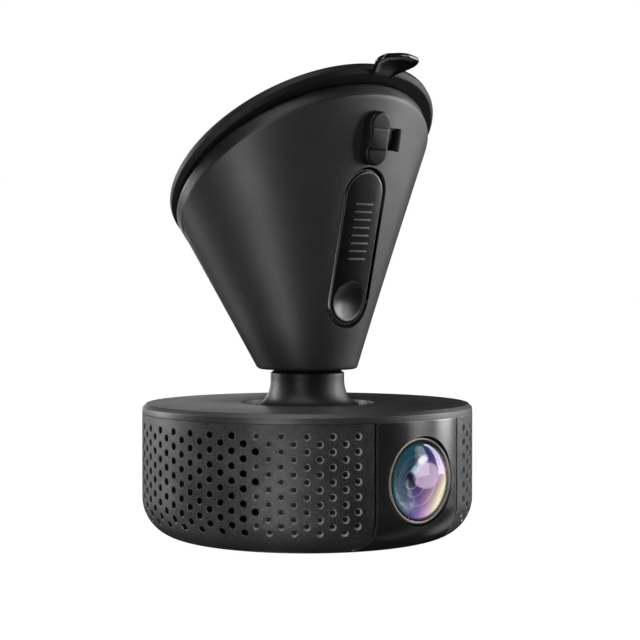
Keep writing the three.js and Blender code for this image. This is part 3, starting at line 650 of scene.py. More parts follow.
HIDDEN_PLASTIC = surface("inner_plastic", 0.02, 0.035, 0.5, 2600.0, 0.2)
BOARD = board_green("circuit_board")
CLOTH = cloth("dark_cloth")
FRONT_GLASS = coated_glass("front_glass", 0.05)
# Painted coating reflections, highlights and pupil shade for the lens, glowing at strength 0.75.
LENS_PAINTED_LIGHT = lens_painted_light("lens_painted_light", BOWL_RADIUS, 0.75)


# ---------- the body's side ----------
STRAIGHT = SHELL_TOP - BASE_ROUND  # length of the upright part of the side, from its top


def side_radius(down):
    if down <= STRAIGHT:
        return BODY_RADIUS
    return BODY_RADIUS - BASE_ROUND + BASE_ROUND * math.cos((down - STRAIGHT) / BASE_ROUND)


def side_point(angle, down, depth=0.0):
    """A point of the side: degrees from the lens towards +X, length down the outline, depth under it."""
    turn = max(0.0, (down - STRAIGHT) / BASE_ROUND)
    out, fall = math.cos(turn), math.sin(turn)
    r = (BODY_RADIUS - BASE_ROUND) + (BASE_ROUND - depth) * out
    z = (SHELL_TOP - down if turn == 0 else BASE_ROUND - BASE_ROUND * fall) + depth * fall
    a = math.radians(angle)
    return (r * math.sin(a), -r * math.cos(a), z)


SIDE_END = STRAIGHT + BASE_ROUND * math.acos((BASE_RIM + SEAM_GAP - BODY_RADIUS + BASE_ROUND) / BASE_ROUND)
DEGREE = math.radians(1) * BODY_RADIUS  # length of one degree round the body


def rim(i, j, across, down):
    """Indices of the grid's points round a block of its cells, from the block's first corner on."""
    return (
        [(i + k, j) for k in range(across)]
        + [(i + across, j + k) for k in range(down)]
        + [(i + across - k, j + down) for k in range(across)]
        + [(i, j + down - k) for k in range(down)]
    )


def cells(grid):
    """Each cell of the grid: its indices and its corners."""
    for i, (near, far) in enumerate(zip(grid, grid[1:])):
        for j in range(len(near) - 1):
            yield (i, j), [near[j], far[j], far[j + 1], near[j + 1]]


def spread_border(grid, border, reach):
    """The grid with its outer points moved out along the surface by reach."""
    flat = np.array([(grid[i][j][0] * DEGREE, grid[i][j][1]) for i, j in border])
    ahead = np.roll(flat, -1, 0) - flat
    ahead /= np.maximum(np.linalg.norm(ahead, axis=1), 1e-9)[:, None]
    side = np.stack([ahead[:, 1], -ahead[:, 0]], 1)
    out = side + np.roll(side, 1, 0)
    out /= np.maximum((out * side).sum(1), 0.5)[:, None]
    wide = [list(column) for column in grid]
    for (i, j), spot in zip(border, flat + out * reach):
        wide[i][j] = (spot[0] / DEGREE, spot[1])
    return wide


SIDE_LOOKS = [SHELL, CLOTH, HOLE_WALL_SHADE, DIMPLE_WALL_HIGHLIGHT, DIMPLE_FLOOR_SHADE]
IN_CLOTH, IN_HOLE_WALL_SHADE, IN_DIMPLE_HIGHLIGHT, IN_DIMPLE_FLOOR_SHADE = 1, 2, 3, 4  # places in SIDE_LOOKS
HOLE_DEPTH = 1.85
DIMPLE_DEPTH = 0.64


def hole(shape, border, angle, down, through):
    """One round hole or dimple inside a cell of the grid."""
    local = math.radians(1) * side_radius(down)
    away = np.array([((a - angle) * local, d - down) for a, d in border])
    away /= np.linalg.norm(away, axis=1)[:, None]

    def ring(radius, depth):
        return [side_point(angle + radius * x / local, down + radius * y, depth) for x, y in away]

    edge = [[side_point(a, d) for a, d in border], ring(HOLE_RADIUS + 0.1, 0), ring(HOLE_RADIUS, 0.09)]
    shape.rings(edge)
    if through:
        wall = [edge[-1], ring(HOLE_RADIUS, HOLE_DEPTH)]
        floor = [wall[-1], ring(0, HOLE_DEPTH)]
        # The through hole's wall is painted dark as shade.
        shape.rings(wall, look=IN_HOLE_WALL_SHADE).rings(floor, look=IN_CLOTH)
    else:
        wall = [edge[-1], ring(HOLE_RADIUS - 0.05, 0.36), ring(HOLE_RADIUS - 0.21, 0.58)]
        floor = [wall[-1], ring(0.25, DIMPLE_DEPTH), ring(0, DIMPLE_DEPTH)]
        # The dimple's wall is painted bright as a highlight, and its floor dark as shade.
        shape.rings(wall, look=IN_DIMPLE_HIGHLIGHT).rings(floor, look=IN_DIMPLE_FLOOR_SHADE)


def plate(grid, bevel, holes=()):
    """A closed plate of the side from a grid of (angle, down), with rounded edges and holes in its cells."""
    shape = Shape()
    taken = {(i + a, j + b) for i, j, _ in holes for a in range(CELL) for b in range(CELL)}
    for spot, corners in cells(grid):
        if spot not in taken:
            shape.face([side_point(*c) for c in corners])
    for i, j, through in holes:
        border = [grid[a][b] for a, b in rim(i, j, CELL, CELL)]
        hole(shape, border, *grid[i + CELL // 2][j + CELL // 2], through)
    border = rim(0, 0, len(grid) - 1, len(grid[0]) - 1)
    half, wide = spread_border(grid, border, bevel * 0.7), spread_border(grid, border, bevel)
    levels = ((grid, 0.0), (half, bevel * 0.3), (wide, bevel), (wide, WALL))
    shape.rings([[side_point(*level[i][j], depth) for i, j in border] for level, depth in levels])
    for _, corners in cells(wide):
        shape.face([side_point(*c, WALL) for c in corners])
    return shape


EDGE = 0.14  # rounding of the shell's edges
TOP_EDGE = 0.04  # the side's first line below the cover: its rounding is tucked under the cover's lip
REGULAR_END = FIRST_HOLE + (HOLES_IN_COLUMN - 0.5) * HOLE_PITCH
STEP = HOLE_PITCH / CELL
REAR_EDGE = FIRST_COLUMN + COLUMN_STEP * (COLUMNS - 0.5)


def perforated(mirror):
    """One side of the shell, from the seam to the plain rear."""
    start = FASCIA_HALF_ANGLE + EDGE / DEGREE
    first = FIRST_COLUMN - COLUMN_STEP / 2
    bends = [start + (SEAM_CORNER * (1 - math.cos(math.radians(t)))) / DEGREE for t in range(0, 90, 8)]
    angles = [a for a in bends if a < first - 0.15]
    leading = len(angles)
    angles += [first + COLUMN_STEP * k / CELL for k in range(COLUMNS * CELL + 1)]
    last = SIDE_END - EDGE
    corner = last - SEAM_CORNER
    half, tail = CELL // 2, 9
    tops = [TOP_EDGE] + [FIRST_HOLE - HOLE_PITCH / 2 + STEP * k for k in range(HOLES_IN_COLUMN * CELL + 1)]
    shifted = [REGULAR_END + STEP * k for k in range(1, half + 1)]

    def column(angle):
        """The grid's points down the side: the rows of cells, then plain steps to the seam."""
        inside = SEAM_CORNER - (angle - start) * DEGREE
        low = last if inside <= 0 else corner + math.sqrt(max(0.0, SEAM_CORNER**2 - inside**2))
        if angle < first - 1e-6:
            return tops + evenly(REGULAR_END, low, half + tail)
        return tops + shifted + evenly(REGULAR_END + STEP * half, low, tail)

    holes = []
    for k in range(COLUMNS):
        for row in range(HOLES_IN_COLUMN):
            through = k > BLIND_COLUMNS or (k == BLIND_COLUMNS and row % 2 == 1)
            holes.append((leading + k * CELL, 1 + row * CELL + half * (k % 2), through))
    return plate([[(mirror * a, d) for d in column(a)] for a in angles], EDGE, holes)


for side, label in ((-1, "left"), (1, "right")):
    name = f"perforated_shell_{label}"
    shell = make(name, perforated(side), SIDE_LOOKS, "camera", "charcoal_plastic", "side_shell")
    shade_side(shell.data)


def rear_panel():
    angles = np.linspace(REAR_EDGE, 360 - REAR_EDGE, 97)
    downs = [*np.linspace(TOP_EDGE, STRAIGHT, 30), *np.linspace(STRAIGHT, SIDE_END - EDGE, 14)[1:]]
    return plate([[(a, d) for d in downs] for a in angles], EDGE)


def circle(radius, x, z, steps):
    return [around(radius, 2 * math.pi * k / steps, x, z) for k in range(steps)]


def pill(half_width, half_height, x, z):
    across, up = (x - half_width, x + half_width), (z - half_height, z + half_height)
    return rectangle(across, up, half_height * 0.98, 10)


def rear_openings():
    """Bars along +Y, through the rear panel, that leave its openings."""
    outlines = [
        circle(BUTTON_RADIUS + 2.5, 0, BUTTON_HEIGHT, 96), pill(6.4, 1.1, CARD_X, PORT_HEIGHT),
        pill(4.6, 1.75, SOCKET_X, PORT_HEIGHT), circle(1.2, RESET_X, PORT_HEIGHT, 40),
    ]
    return [extruded([(x, -z) for x, z in reversed(outline)], 30, 40) for outline in outlines]


rear = make("shell_rear", rear_panel(), [SHELL], "camera", "charcoal_plastic", "side_shell")
carve(rear, [("DIFFERENCE", opening, rear_place) for opening in rear_openings()])


def fascia():
    """The plain front panel. Its lower corners run out sideways under the shell's rounded corners."""
    edge = 0.26
    last = SIDE_END - edge
    corner_x = FASCIA_HALF_ANGLE * DEGREE + SEAM_CORNER
    corner_down = SIDE_END - SEAM_CORNER
    reach = SEAM_CORNER + SEAM_GAP + edge

    def half_angle(down):
        inside = max(0.0, down - corner_down)
        return (corner_x - math.sqrt(reach**2 - min(inside, reach) ** 2)) / DEGREE

    downs = list(np.linspace(0.1, corner_down, 48))
    downs += [corner_down + (last - corner_down) * math.sin(QUARTER * k / 24) for k in range(1, 25)]
    shares = np.linspace(-1, 1, 61)
    return plate([[(u * half_angle(d), d) for d in downs] for u in shares], edge)


front = make("front_panel", fascia(), [FASCIA], "camera", "satin_black", "front_fascia")
shade_side(front.data)
lens_hole = turned([(0, 20), (BEZEL_RADIUS + 0.38, 20), (BEZEL_RADIUS + 0.38, 45), (0, 45)], 128)
carve(front, [("DIFFERENCE", lens_hole, lens_place)])


# ---------- top and base ----------
def top_cover():
    """The turned cover: its rim overlaps the side, and the neck's foot stands in a recess painted darker as
    shade.
    """
    tuck = BODY_RADIUS - 2.2
    lip = SHELL_TOP + 0.04
    cover = turned([
        (0, 26.5), (17, 26.5), (17, 28.0), (tuck, 28.0), (tuck, lip), (BODY_RADIUS, lip, 0.03),
        (BODY_RADIUS - 0.08, 29.18, 0.25), (BODY_RADIUS - 0.95, BODY_HEIGHT, 0.12),
        (RECESS_RADIUS, BODY_HEIGHT, 0.16), (RECESS_RADIUS - 0.1, RECESS_FLOOR, 0.3), (0, RECESS_FLOOR),
    ], 256, 6)
    for k, face in enumerate(cover.faces):
        corners = [cover.points[i] for i in face]
        # Faces of the recess take the darker neck look as painted shade.
        recess_shade = max(math.hypot(x, y) for x, y, _ in corners) < RECESS_RADIUS + 0.05
        cover.looks[k] = int(recess_shade and min(z for _, _, z in corners) > RECESS_FLOOR - 0.1)
    return cover


make("top_cover_fine", top_cover(), [LIP, NECK], "camera", "charcoal_plastic", "top_cover", sharp=50)


def base():
    low = BODY_RADIUS - BASE_ROUND
    end = QUARTER - math.acos((BASE_RIM - low) / BASE_ROUND)
    turns = np.linspace(0, end, 12)
    curve = [(low + BASE_ROUND * math.sin(t), BASE_ROUND - BASE_ROUND * math.cos(t)) for t in turns]
    return turned([(0, 0.35), (low - 4.2, 0.35), (low - 3.8, 0.0), *curve, (BASE_RIM, WALL), (0, WALL)])


def case_screw():
    return turned([
        (0, 0.9), (2.7, 0.9, 0.35), (2.7, 2.7, 0.15), (1.4, 2.7), (1.4, 15.8, 0.2), (0, 15.8),
    ], 48)


pan = make("base_fine", base(), [SATIN], "camera", "satin_black", "base_pan", sharp=30)
pocket = turned([(0, -1), (3.3, -1), (3.1, 0.6), (3.1, 1.6), (0, 1.6)], 48)
spots = [Matrix.Translation((*around(SCREW_CIRCLE, math.radians(a)), 0)) for a in (45, 135, 225, 315)]
carve(pan, [("DIFFERENCE", pocket, spot) for spot in spots], sharp=30)

arm = block((-1.5, 1.5), (-0.33, 0.33), (0.2, 1.7), 0.03)
cross = [arm, Shape().add(arm, Matrix.Rotation(QUARTER, 4, "Z"))]
for i, spot in enumerate(spots, 1):
    name = f"case_screw_fine_{i}"
    screw = make(name, case_screw(), [STEEL], "camera", "steel", f"case_screw_{i}", place=spot)
    carve(screw, [("DIFFERENCE", part, spot) for part in cross])


# ---------- lens ----------
def bezel():
    inner, low = 8.45, BEZEL_FRONT - 2.4
    return turned([
        (inner, low), (BEZEL_RADIUS, low), (BEZEL_RADIUS, BEZEL_FRONT, 0.2), (8.68, BEZEL_FRONT, 0.15),
        (inner, BEZEL_FRONT - 0.4),
    ])


def front_glass():
    """The domed front glass, a thin shell."""
    edge = BEZEL_FRONT - 0.15
    turns = np.linspace(0, QUARTER, 32)
    outer = [(DOME_RADIUS * math.cos(t), edge + 1.95 * math.sin(t)) for t in turns]
    inner = [((DOME_RADIUS - 0.2) * math.cos(t), edge + 1.7 * math.sin(t)) for t in turns]
    return turned([*reversed(inner), *outer])


def painted_reflection_bowl():
    """The surface behind the front glass that carries the painted coating reflections: it falls back to a
    deep middle.
    """
    edge, side = BEZEL_FRONT - 0.2, BOWL_RADIUS + 0.1
    shares = np.linspace(0, 0.9995, 40)
    return turned([
        *((BOWL_RADIUS * t, edge - BOWL_DEPTH * math.cos(QUARTER * t) ** 2) for t in shares),
        (side, edge), (side, edge - 1.75), (5.6, edge - 1.85), (5.6, 27.7), (0, 27.7),
    ], 160)


make("lens_ring", bezel(), [GUNMETAL], "camera", "gunmetal", "lens_bezel", place=lens_place)
make("lens_front_glass", front_glass(), [FRONT_GLASS], "camera", "lens_glass", "lens_dome", place=lens_place)
# The lens's inner surface, painted with reflections, highlights and the pupil's shade.
make(
    "lens_painted_reflections", painted_reflection_bowl(), [LENS_PAINTED_LIGHT], "camera", "lens_glass", "lens_inner_element",
    place=lens_place,
)


# ---------- rear controls ----------
def power_button():
    back, face = BODY_RADIUS - 2.5, BODY_RADIUS + 0.7
    return turned([
        (0, 32.9), (1.6, 32.9), (1.6, back), (BUTTON_RADIUS, back), (BUTTON_RADIUS, face, 0.35),
        (2.9, face, 0.3), (0, face - 0.3),
    ], 96)


def button_ring():
    low, high = BODY_RADIUS - 2.4, BODY_RADIUS + 0.1
    inner, outer = BUTTON_RADIUS + 0.35, BUTTON_RADIUS + 2.2
    return turned([(inner, low), (outer, low), (outer, high, 0.3), (inner, high, 0.3)], 96)


def reset_pin():
    face = BODY_RADIUS - 1
    return turned([(0, 32.1), (0.9, 32.1), (0.9, face, 0.25), (0, face)], 32)


def facing_rear(x, z):
    return Matrix.Translation((x, 0, z)) @ rear_place


button_place = facing_rear(0, BUTTON_HEIGHT)
make(
    "power_button_fine", power_button(), [SATIN], "power_button", "satin_black", "power_button",
    place=button_place,
)
make("button_light_ring", button_ring(), [GUIDE], "camera", "light_guide", "button_ring", place=button_place)
make(
    "reset_pin", reset_pin(), [SATIN], "reset_button", "satin_black", "reset_button",
    place=facing_rear(RESET_X, PORT_HEIGHT),
)


def level_span(half):
    """A span of heights round the middle of the ports."""
    return (PORT_HEIGHT - half, PORT_HEIGHT + half)


def memory_card():
    half_width = 5.5
    rear_y = math.sqrt(BODY_RADIUS**2 - (CARD_X + half_width) ** 2) - 0.3
    x = (CARD_X - half_width, CARD_X + half_width)
    card = block(x, (rear_y - 15, rear_y), level_span(0.35), 0.12)
    return card.add(block((x[0] + 0.8, x[1] - 0.8), (rear_y - 1.3, rear_y - 0.7), level_span(0.45), 0.08))


make("card_fine", memory_card(), [GLOSS], "memory_card", "gloss_black", "memory_card", sharp=30)


def socket_shell():
    """The power inlet's steel shell, and its tongue in the second material."""
    rear_y = math.sqrt(BODY_RADIUS**2 - (abs(SOCKET_X) + 4) ** 2) - 0.6
    outer = pill(4.0, 1.6, SOCKET_X, PORT_HEIGHT)
    inner = pill(3.7, 1.3, SOCKET_X, PORT_HEIGHT)
    levels = ((inner, 5.5), (inner, 0.1), (outer, 0.0), (outer, 7))
    rows = [[(x, rear_y - inward, z) for x, z in outline] for outline, inward in levels]
    shape = capped(rows)
    tongue = block((SOCKET_X - 3.0, SOCKET_X + 3.0), (rear_y - 5.6, rear_y - 1.0), level_span(0.35), 0.1)
    for face in tongue.faces:
        shape.face([tongue.points[i] for i in face], 1)
    return shape


make("power_inlet", socket_shell(), [STEEL, HIDDEN_PLASTIC], "camera", "steel", "usb_socket", sharp=30)


# ---------- neck ----------
def neck():
    reach = FOOT_RADIUS - NECK_RADIUS
    under, bore, hollow = FOOT_LOW + 1.5, 1.9, 5.2
    flare = [
        (FOOT_RADIUS - reach * math.sin(t), FOOT_LOW + 0.8 + 5.8 * (1 - math.cos(t)))
        for t in np.linspace(0.08, QUARTER, 24)
    ]
    return turned([
        (9.8, FOOT_LOW), (FOOT_RADIUS, FOOT_LOW, 0.2), (FOOT_RADIUS, FOOT_LOW + 0.9), *flare,
        (NECK_RADIUS, NECK_TOP - 1.5), (NECK_RADIUS, NECK_TOP - 0.5, 0.3), (NECK_RADIUS - 0.8, NECK_TOP, 0.2),
        (hollow, NECK_TOP), (hollow, 33.5), (bore, 33.5), (bore, under), (9.8, under),
    ])


make("neck_fine", neck(), [NECK], "neck", "charcoal_plastic", "swivel_neck", sharp=45)


# ---------- cone ----------
CONE_TURNS = [2 * math.pi * i / 256 for i in range(256)]
CONE_EDGE = 0.8  # reach of the rounding at the cone's lower edge
THROAT_HEIGHT = 41.0
THROAT_RADIUS = 11.2
front_dir = np.array([0, -1.0, 0])
side_dir = np.array([1.0, 0, 0])
slope_dir = np.array([0, -math.cos(CUP_TILT), math.sin(CUP_TILT)])


def sloped_ring(angle, out, radius):
    centre = np.array(cup_place @ Vector((0, 0, out)))
    return centre + radius * (math.cos(angle) * slope_dir + math.sin(angle) * side_dir)


def level_ring(angle, height, radius):
    return np.array([0, 0, height]) + radius * (math.cos(angle) * front_dir + math.sin(angle) * side_dir)


def sloped_row(out, radius):
    return [tuple(sloped_ring(a, out, radius)) for a in CONE_TURNS]


def level_row(height, radius):
    return [tuple(level_ring(a, height, radius)) for a in CONE_TURNS]


def cone_rows(inset, steps):
    """The rings of points of the outer surface, from the rounded lower edge up to the crease."""
    columns = []
    for a in CONE_TURNS:
        low = level_ring(a, CONE_BASE_HEIGHT, CONE_BASE_RADIUS - inset)
        high = sloped_ring(a, -RIM_BAND, CREASE_RADIUS - inset)
        inner = level_ring(a, CONE_BASE_HEIGHT, CONE_BASE_RADIUS - inset - CONE_EDGE)
        wall = high - low
        start = low + wall / np.linalg.norm(wall) * CONE_EDGE
        bend = [(1 - t) ** 2 * inner + 2 * t * (1 - t) * low + t * t * start for t in np.linspace(0, 1, 7)]
        columns.append(bend + evenly(start, high, steps))
    return [[tuple(c[k]) for c in columns] for k in range(len(columns[0]))]


def cone():
    rows = cone_rows(0.0, 88)
    crease = len(rows) - 1
    band_foot = CREASE_RADIUS + 0.06
    rows.append(sloped_row(-RIM_BAND + 0.12, band_foot))
    rows += [sloped_row(z, band_foot + 0.34 * (z + RIM_BAND) / RIM_BAND) for z in (-2.2, -1.4, -0.6)]
    rows += [sloped_row(z, RIM_RADIUS - inward) for z, inward in ((-0.25, 0.02), (-0.07, 0.08), (0, 0.25))]
    brim = len(rows) - 1
    rows += [sloped_row(0, RIM_RADIUS - CONE_WALL), sloped_row(-RIM_BAND, CREASE_RADIUS - CONE_WALL)]
    top, low = np.array(rows[-1]), np.array(level_row(THROAT_HEIGHT, THROAT_RADIUS))
    rows += [[tuple(p) for p in row] for row in evenly(top, low, 12)]
    rows += [level_row(THROAT_HEIGHT, CONE_OPENING), level_row(CONE_BASE_HEIGHT + 0.2, CONE_OPENING)]
    rows += [level_row(CONE_BASE_HEIGHT, CONE_OPENING + 0.2), rows[0]]
    shape = Shape().rings(rows[: crease + 1])
    return shape.rings(rows[crease : brim + 1], look=1).rings(rows[brim:])


def outside_solid():
    """The cone without its hollow, as a limit for what is added inside it."""
    return capped([*cone_rows(0.05, 12), sloped_row(0, RIM_RADIUS - 0.1)])


def pivot_ears():
    """The two blocks beside the slot that hold the lever's pin."""
    along = (PIVOT_ALONG - 3.4, PIVOT_ALONG + 3.4)
    return [extruded(rectangle((x, x + 1.6), along), -6, -1.5) for x in (SLOT_RADIUS, -SLOT_RADIUS - 1.6)]


housing = make("cone_fine", cone(), [CONE, BAND], "housing", "charcoal_plastic", "cone_housing", sharp=35)
tray_shape = extruded(stadium(SLOT_RADIUS + 1.2, SLOT_LOW, 32), -4, -1)
tray = make("lever_tray", tray_shape, [CONE], "housing", "charcoal_plastic", place=front_place)
carve(tray, [("UNION", ear, front_place) for ear in pivot_ears()] + [("INTERSECT", outside_solid(), None)])
slot = extruded(stadium(SLOT_RADIUS, SLOT_LOW, SLOT_HIGH), -3, 6)
well = extruded(rectangle((-SLOT_RADIUS, SLOT_RADIUS), (31, SLOT_HIGH)), -16, 0)
slot_cuts = [("DIFFERENCE", slot, front_place), ("DIFFERENCE", well, front_place)]
carve(housing, slot_cuts, sharp=35)
carve(tray, slot_cuts)


# ---------- lever ----------
LEVER_RADIUS = SLOT_RADIUS - LEVER_GAP
LEVER_TOP = SLOT_HIGH - LEVER_GAP / 2
DISH_RADIUS = 4.35
DISH_DEPTH = 1.4
DISH_EDGE = 0.14
RIBS = 8
FIRST_RIB = 25.2
RIB_PITCH = 1.75
RIB_HALF_LENGTH = 2.3
RIB_HALF_WIDTH = 0.3
RIB_HEIGHT = 0.26
front_back = np.array(front_place.inverted())
front_length = np.linalg.norm(np.array(crease_front) - np.array(cone_front))


def lever_face(x, y):
    """Height of the lever's face over the front frame's plane, a little under the cone's surface."""
    s = y / front_length
    for _ in range(6):
        radius = (1 - s) * (CONE_BASE_RADIUS - LEVER_INSET) + s * (CREASE_RADIUS - LEVER_INSET)
        a = math.asin(max(-1.0, min(1.0, x / radius)))
        low = level_ring(a, CONE_BASE_HEIGHT, CONE_BASE_RADIUS - LEVER_INSET)
        high = sloped_ring(a, -RIM_BAND, CREASE_RADIUS - LEVER_INSET)
        point = low + (high - low) * s
        local = front_back[:3, :3] @ point + front_back[:3, 3]
        s += (y - local[1]) / front_length
    return local[2]


def dish_drop(x, y):
    """Depth of the thumb dish under the lever's face, with a softly rounded edge."""
    level = DISH_DEPTH * (1 - (x**2 + (y - SLOT_LOW) ** 2) / DISH_RADIUS**2)
    return (level + math.sqrt(level**2 + DISH_EDGE**2)) / 2


def lever_panel():
    """The lever's plate: it follows the cone, with a bevel round its face that its material lights with a
    painted highlight, and a thumb dish.
    """
    bevel = 0.45
    rings = [(0.0, bevel * 0.85), (0.06, bevel * 0.62), (bevel - 0.06, 0.07), (bevel, 0.02)]
    rings += [(inward, 0.0) for inward in np.linspace(bevel + 0.12, LEVER_RADIUS, 30)]

    def outline(inward):
        return stadium(LEVER_RADIUS - inward, SLOT_LOW, LEVER_TOP, 48, along=110)

    rows = [[(x, y, LEVER_BACK) for x, y in outline(0.0)]]
    for inward, drop in rings:
        rows.append([(x, y, lever_face(x, y) - drop - dish_drop(x, y)) for x, y in outline(inward)])
    shape = Shape().rings(rows)
    shape.face(rows[0])
    return shape


def lever_barrel():
    radius, half = 2.6, 4.5
    profile = [(0, -half), (radius, -half, 0.3), (radius, half, 0.3), (0, half)]
    place = Matrix.Translation((0, PIVOT_ALONG, -PIVOT_DEPTH)) @ Matrix.Rotation(QUARTER, 4, "Y")
    return Shape().add(turned(profile, 48), place)


def grip_ribs():
    """Straight raised ribs across the upper part of the lever's face."""
    shape = Shape()
    for k in range(RIBS):
        along = FIRST_RIB + RIB_PITCH * k
        outline = stadium(RIB_HALF_WIDTH, -RIB_HALF_LENGTH, RIB_HALF_LENGTH, 8)
        rib = extruded([(y, along - x) for x, y in outline], -0.6, RIB_HEIGHT, 0.16)
        root = lever_face(0, along) - 1.2
        bent = [(x, y, z + lever_face(x, along) if z > 0 else root) for x, y, z in rib.points]
        for face in rib.faces:
            shape.face([bent[i] for i in face])
    return shape


LEVER = lever_black("lever_black", front_place @ Vector((0, SLOT_LOW, -LEVER_INSET)), DISH_RADIUS)
make("lever_fine", lever_panel(), [LEVER], "lever", "gloss_black", "lever", place=front_place, sharp=24)
make("lever_ribs", grip_ribs(), [SATIN], "lever", "gloss_black", place=front_place)
make("lever_pivot_barrel", lever_barrel(), [GLOSS], "lever", "gloss_black", place=front_place)


# ---------- cable clip ----------
def clip_boss():
    half = CLIP_LENGTH / 2 - CLIP_HALF_WIDTH
    outline = stadium(CLIP_HALF_WIDTH, CLIP_ALONG - half, CLIP_ALONG + half, 32, CLIP_ACROSS)
    return extruded(outline, -2, CLIP_HEIGHT, 0.7, 6)


def clip_parts():
    """The raised middle of the clip, and its hook: a foot along the cone and an upright end."""
    hook = (CLIP_ALONG - HOOK_HALF_HEIGHT, CLIP_ALONG + HOOK_HALF_HEIGHT)
    return [
        block((CLIP_ACROSS - CLIP_HALF_WIDTH, CLIP_ACROSS + 2.3), hook, (-1.5, CLIP_HEIGHT + 0.5), 0.5),
        block((CLIP_ACROSS, HOOK_REACH), hook, (0.1, 0.9), 0.2),
        block((HOOK_REACH - 0.9, HOOK_REACH), hook, (0.1, CLIP_HEIGHT), 0.2),
    ]


clip = make(
    "cable_clip_fine", clip_boss(), [CLIP_BLACK], "housing", "satin_black", "cable_clip",
    place=front_place, sharp=30,
)
carve(clip, [("UNION", part, front_place) for part in clip_parts()], sharp=30)


# ---------- suction cup ----------
def cup():
    outer = CUP_RADIUS
    return turned([
        (11.5, -0.4), (14, -0.4), (14, 0.4, 0.3), (outer - 0.9, 0.4, 0.5), (outer, 1.3, 0.5),
        (outer, CUP_FACE - 0.7, 0.4), (outer - 0.7, CUP_FACE, 0.3), (27, CUP_FACE, 0.5),
        (20, CUP_FACE - 0.4, 3), (0, CUP_FACE - 0.5), (0, 2), (11.5, 2),
    ], 256)


def pull_tab():
    """The tongue for peeling the cup off: it widens outwards, leans off the glass and has a thicker rim."""
    right = [
        (0, -41.4, 9.0), (TAB_HALF_WIDTH - 0.9, -40.2, 1.6), (TAB_HALF_WIDTH, -38, 2.0),
        (TAB_NECK, -33.8, 2.0), (TAB_NECK, -30),
    ]
    left = [(-x, *rest) for x, *rest in reversed(right[1:])]
    flat = np.array(rounded(left + right, steps=8))
    middle = np.array([0, -36.2])
    lows, highs = [], []
    for share, low, high in (
        (1.0, 0.35, 0.65), (0.985, 0.1, 0.9), (0.95, 0, 1.0), (0.90, 0.02, 0.97), (0.84, 0.14, 0.84),
        (0.6, 0.2, 0.8), (0.3, 0.2, 0.8),
    ):
        ring = middle + (flat - middle) * share
        lows.append([(x, y, low) for x, y in ring])
        highs.append([(x, y, high) for x, y in ring])
    return capped(lows[::-1] + highs)


make(
    "suction_cup_fine", cup(), [RUBBER], "housing", "rubber", "suction_cup",
    place=cup_place @ Matrix.Translation((0, -CUP_SHIFT, 0)), sharp=45,
)
tab_hinge = Matrix.Translation((0, -32, 0.4)) @ Matrix.Rotation(TAB_LEAN, 4, "X")
tab_place = cup_place @ tab_hinge @ Matrix.Translation((0, 32, 0))
make("pull_tab", pull_tab(), [TAB], "housing", "rubber", place=tab_place, sharp=60)

# ---------- CAD pieces that stay ----------
STAYING = [
    (GLOSS, "lens_barrel image_sensor"),
    (BOARD, "sensor_board main_board button_board"),
    (HIDDEN_PLASTIC, "inner_frame socket_cover cup_seat"),
    (FOIL, "processor_shield wifi_module microphone battery"),
    (DARK_STEEL, "speaker magnet_ring power_switch reset_switch socket_clamp"),
    (CLOTH, "mesh_liner_right mesh_liner_left"),
    (NYLON, "socket_liner plunger"),
    (STEEL, "card_socket keeper_plate swivel_rivet ball_stud clamp_spring lever_pin plunger_spring"),
    (STEEL, "cam_follower retaining_clip seat_screw_1 seat_screw_2 seat_screw_3"),
]
for look, names in STAYING:
    for name in names.split():
        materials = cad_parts[name].data.materials
        materials.clear()
        materials.append(look)


# ---------- camera ----------
VIEW_AZIMUTH = math.radians(41.22)
VIEW_DISTANCE = 376.8
VIEW_HEIGHT = 55.70
VIEW_PITCH = math.radians(1.06)
VIEW_YAW = math.radians(0.438)
SENSOR_WIDTH = 36
LENS_LENGTH = 92.97

bearing = VIEW_AZIMUTH + VIEW_YAW
ahead = Vector((math.sin(bearing), math.cos(bearing), -math.tan(VIEW_PITCH)))
side, back = VIEW_DISTANCE * math.sin(VIEW_AZIMUTH), VIEW_DISTANCE * math.cos(VIEW_AZIMUTH)
camera = placed("view", bpy.data.cameras.new("view"))
camera.data.lens = LENS_LENGTH
camera.data.sensor_width = SENSOR_WIDTH
camera.data.clip_start = 0.01
camera.location = Vector((-side, -back, VIEW_HEIGHT)) * MM
camera.rotation_mode = "QUATERNION"
camera.rotation_quaternion = ahead.to_track_quat("-Z", "Y")
bpy.context.scene.camera = camera
bpy.context.scene.view_settings.view_transform = "Standard"

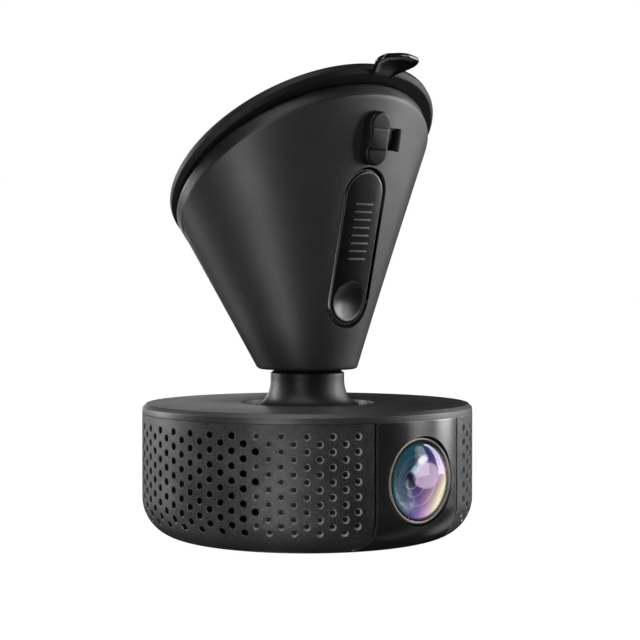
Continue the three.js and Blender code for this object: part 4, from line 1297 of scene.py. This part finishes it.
# ---------- light ----------
LIGHT_TARGET = Vector((0, 0, 60))
LIGHTS = [
    # name, bearing, height, distance, width, height of the panel, power
    ("key_panel", -22, 60, 700, 170, 1300, 2.5),
    ("key_low_panel", -22, -300, 650, 170, 400, 1.1),
    ("left_panel", -115, 200, 600, 200, 400, 2.6),
    ("left_low_panel", -115, -180, 600, 200, 460, 0.4),
    ("bounce_panel", -50, -560, 330, 300, 300, 0.35),
    ("back_left_panel", -160, 70, 600, 420, 140, 0.36),
    ("right_front_panel", 80, 185, 600, 160, 430, 1.1),
    ("right_panel", 105, 185, 600, 160, 430, 2.7),
    ("right_low_panel", 100, -480, 450, 200, 350, 0.03),
    ("back_right_panel", 130, 200, 600, 200, 430, 0.8),
    ("back_right_low_panel", 130, -200, 600, 200, 450, 0.16),
    ("top_panel", -30, 700, 250, 500, 500, 2.4),
]


def softbox(name, bearing, height, distance, width, tall, power):
    """A soft panel of light: bearing in degrees to the right of the camera's side of the object."""
    angle = -VIEW_AZIMUTH + math.radians(bearing)
    spot = Vector((math.sin(angle) * distance, -math.cos(angle) * distance, height)) * MM
    lamp = bpy.data.lights.new(name, "AREA")
    lamp.shape = "RECTANGLE"
    lamp.size = width * MM
    lamp.size_y = tall * MM
    lamp.energy = power
    light = placed(name, lamp)
    light.location = spot
    light.rotation_mode = "QUATERNION"
    light.rotation_quaternion = (LIGHT_TARGET * MM - spot).to_track_quat("-Z", "Y")


for light in LIGHTS:
    softbox(*light)

world = bpy.data.worlds.new("studio")
world.use_nodes = True
world.node_tree.nodes["Background"].inputs["Color"].default_value = (1, 1, 1, 1)
world.node_tree.nodes["Background"].inputs["Strength"].default_value = 0.004
bpy.context.scene.world = world

# ---------- floor and backdrop ----------
FLOOR_HALF = 6000
FLOOR_HEIGHT = -0.05
BACKDROP_RADIUS = 5900


def stage_piece(name, shape):
    """A glowing white surface that only the camera sees."""
    glow = {"Base Color": (0, 0, 0), "Emission Color": (1, 1, 1), "Emission Strength": 1.0, "Roughness": 0.9}
    mesh = mesh_of(name, shape)
    mesh.materials.append(Nodes(f"{name}_white").finish(glow))
    piece = placed(name, mesh)
    piece.visible_diffuse = False
    piece.visible_glossy = False
    piece.visible_transmission = False
    piece.visible_shadow = False


floor = Shape()
floor_span = (-FLOOR_HALF, FLOOR_HALF)
floor.face([(x, y, FLOOR_HEIGHT) for x, y in rectangle(floor_span, floor_span)])
stage_piece("floor", floor)
arc = [around(BACKDROP_RADIUS, t) for t in np.linspace(-1.5, 1.5, 24)]
stage_piece("backdrop", turned([(0, -BACKDROP_RADIUS), *arc, (0, BACKDROP_RADIUS)], 48))
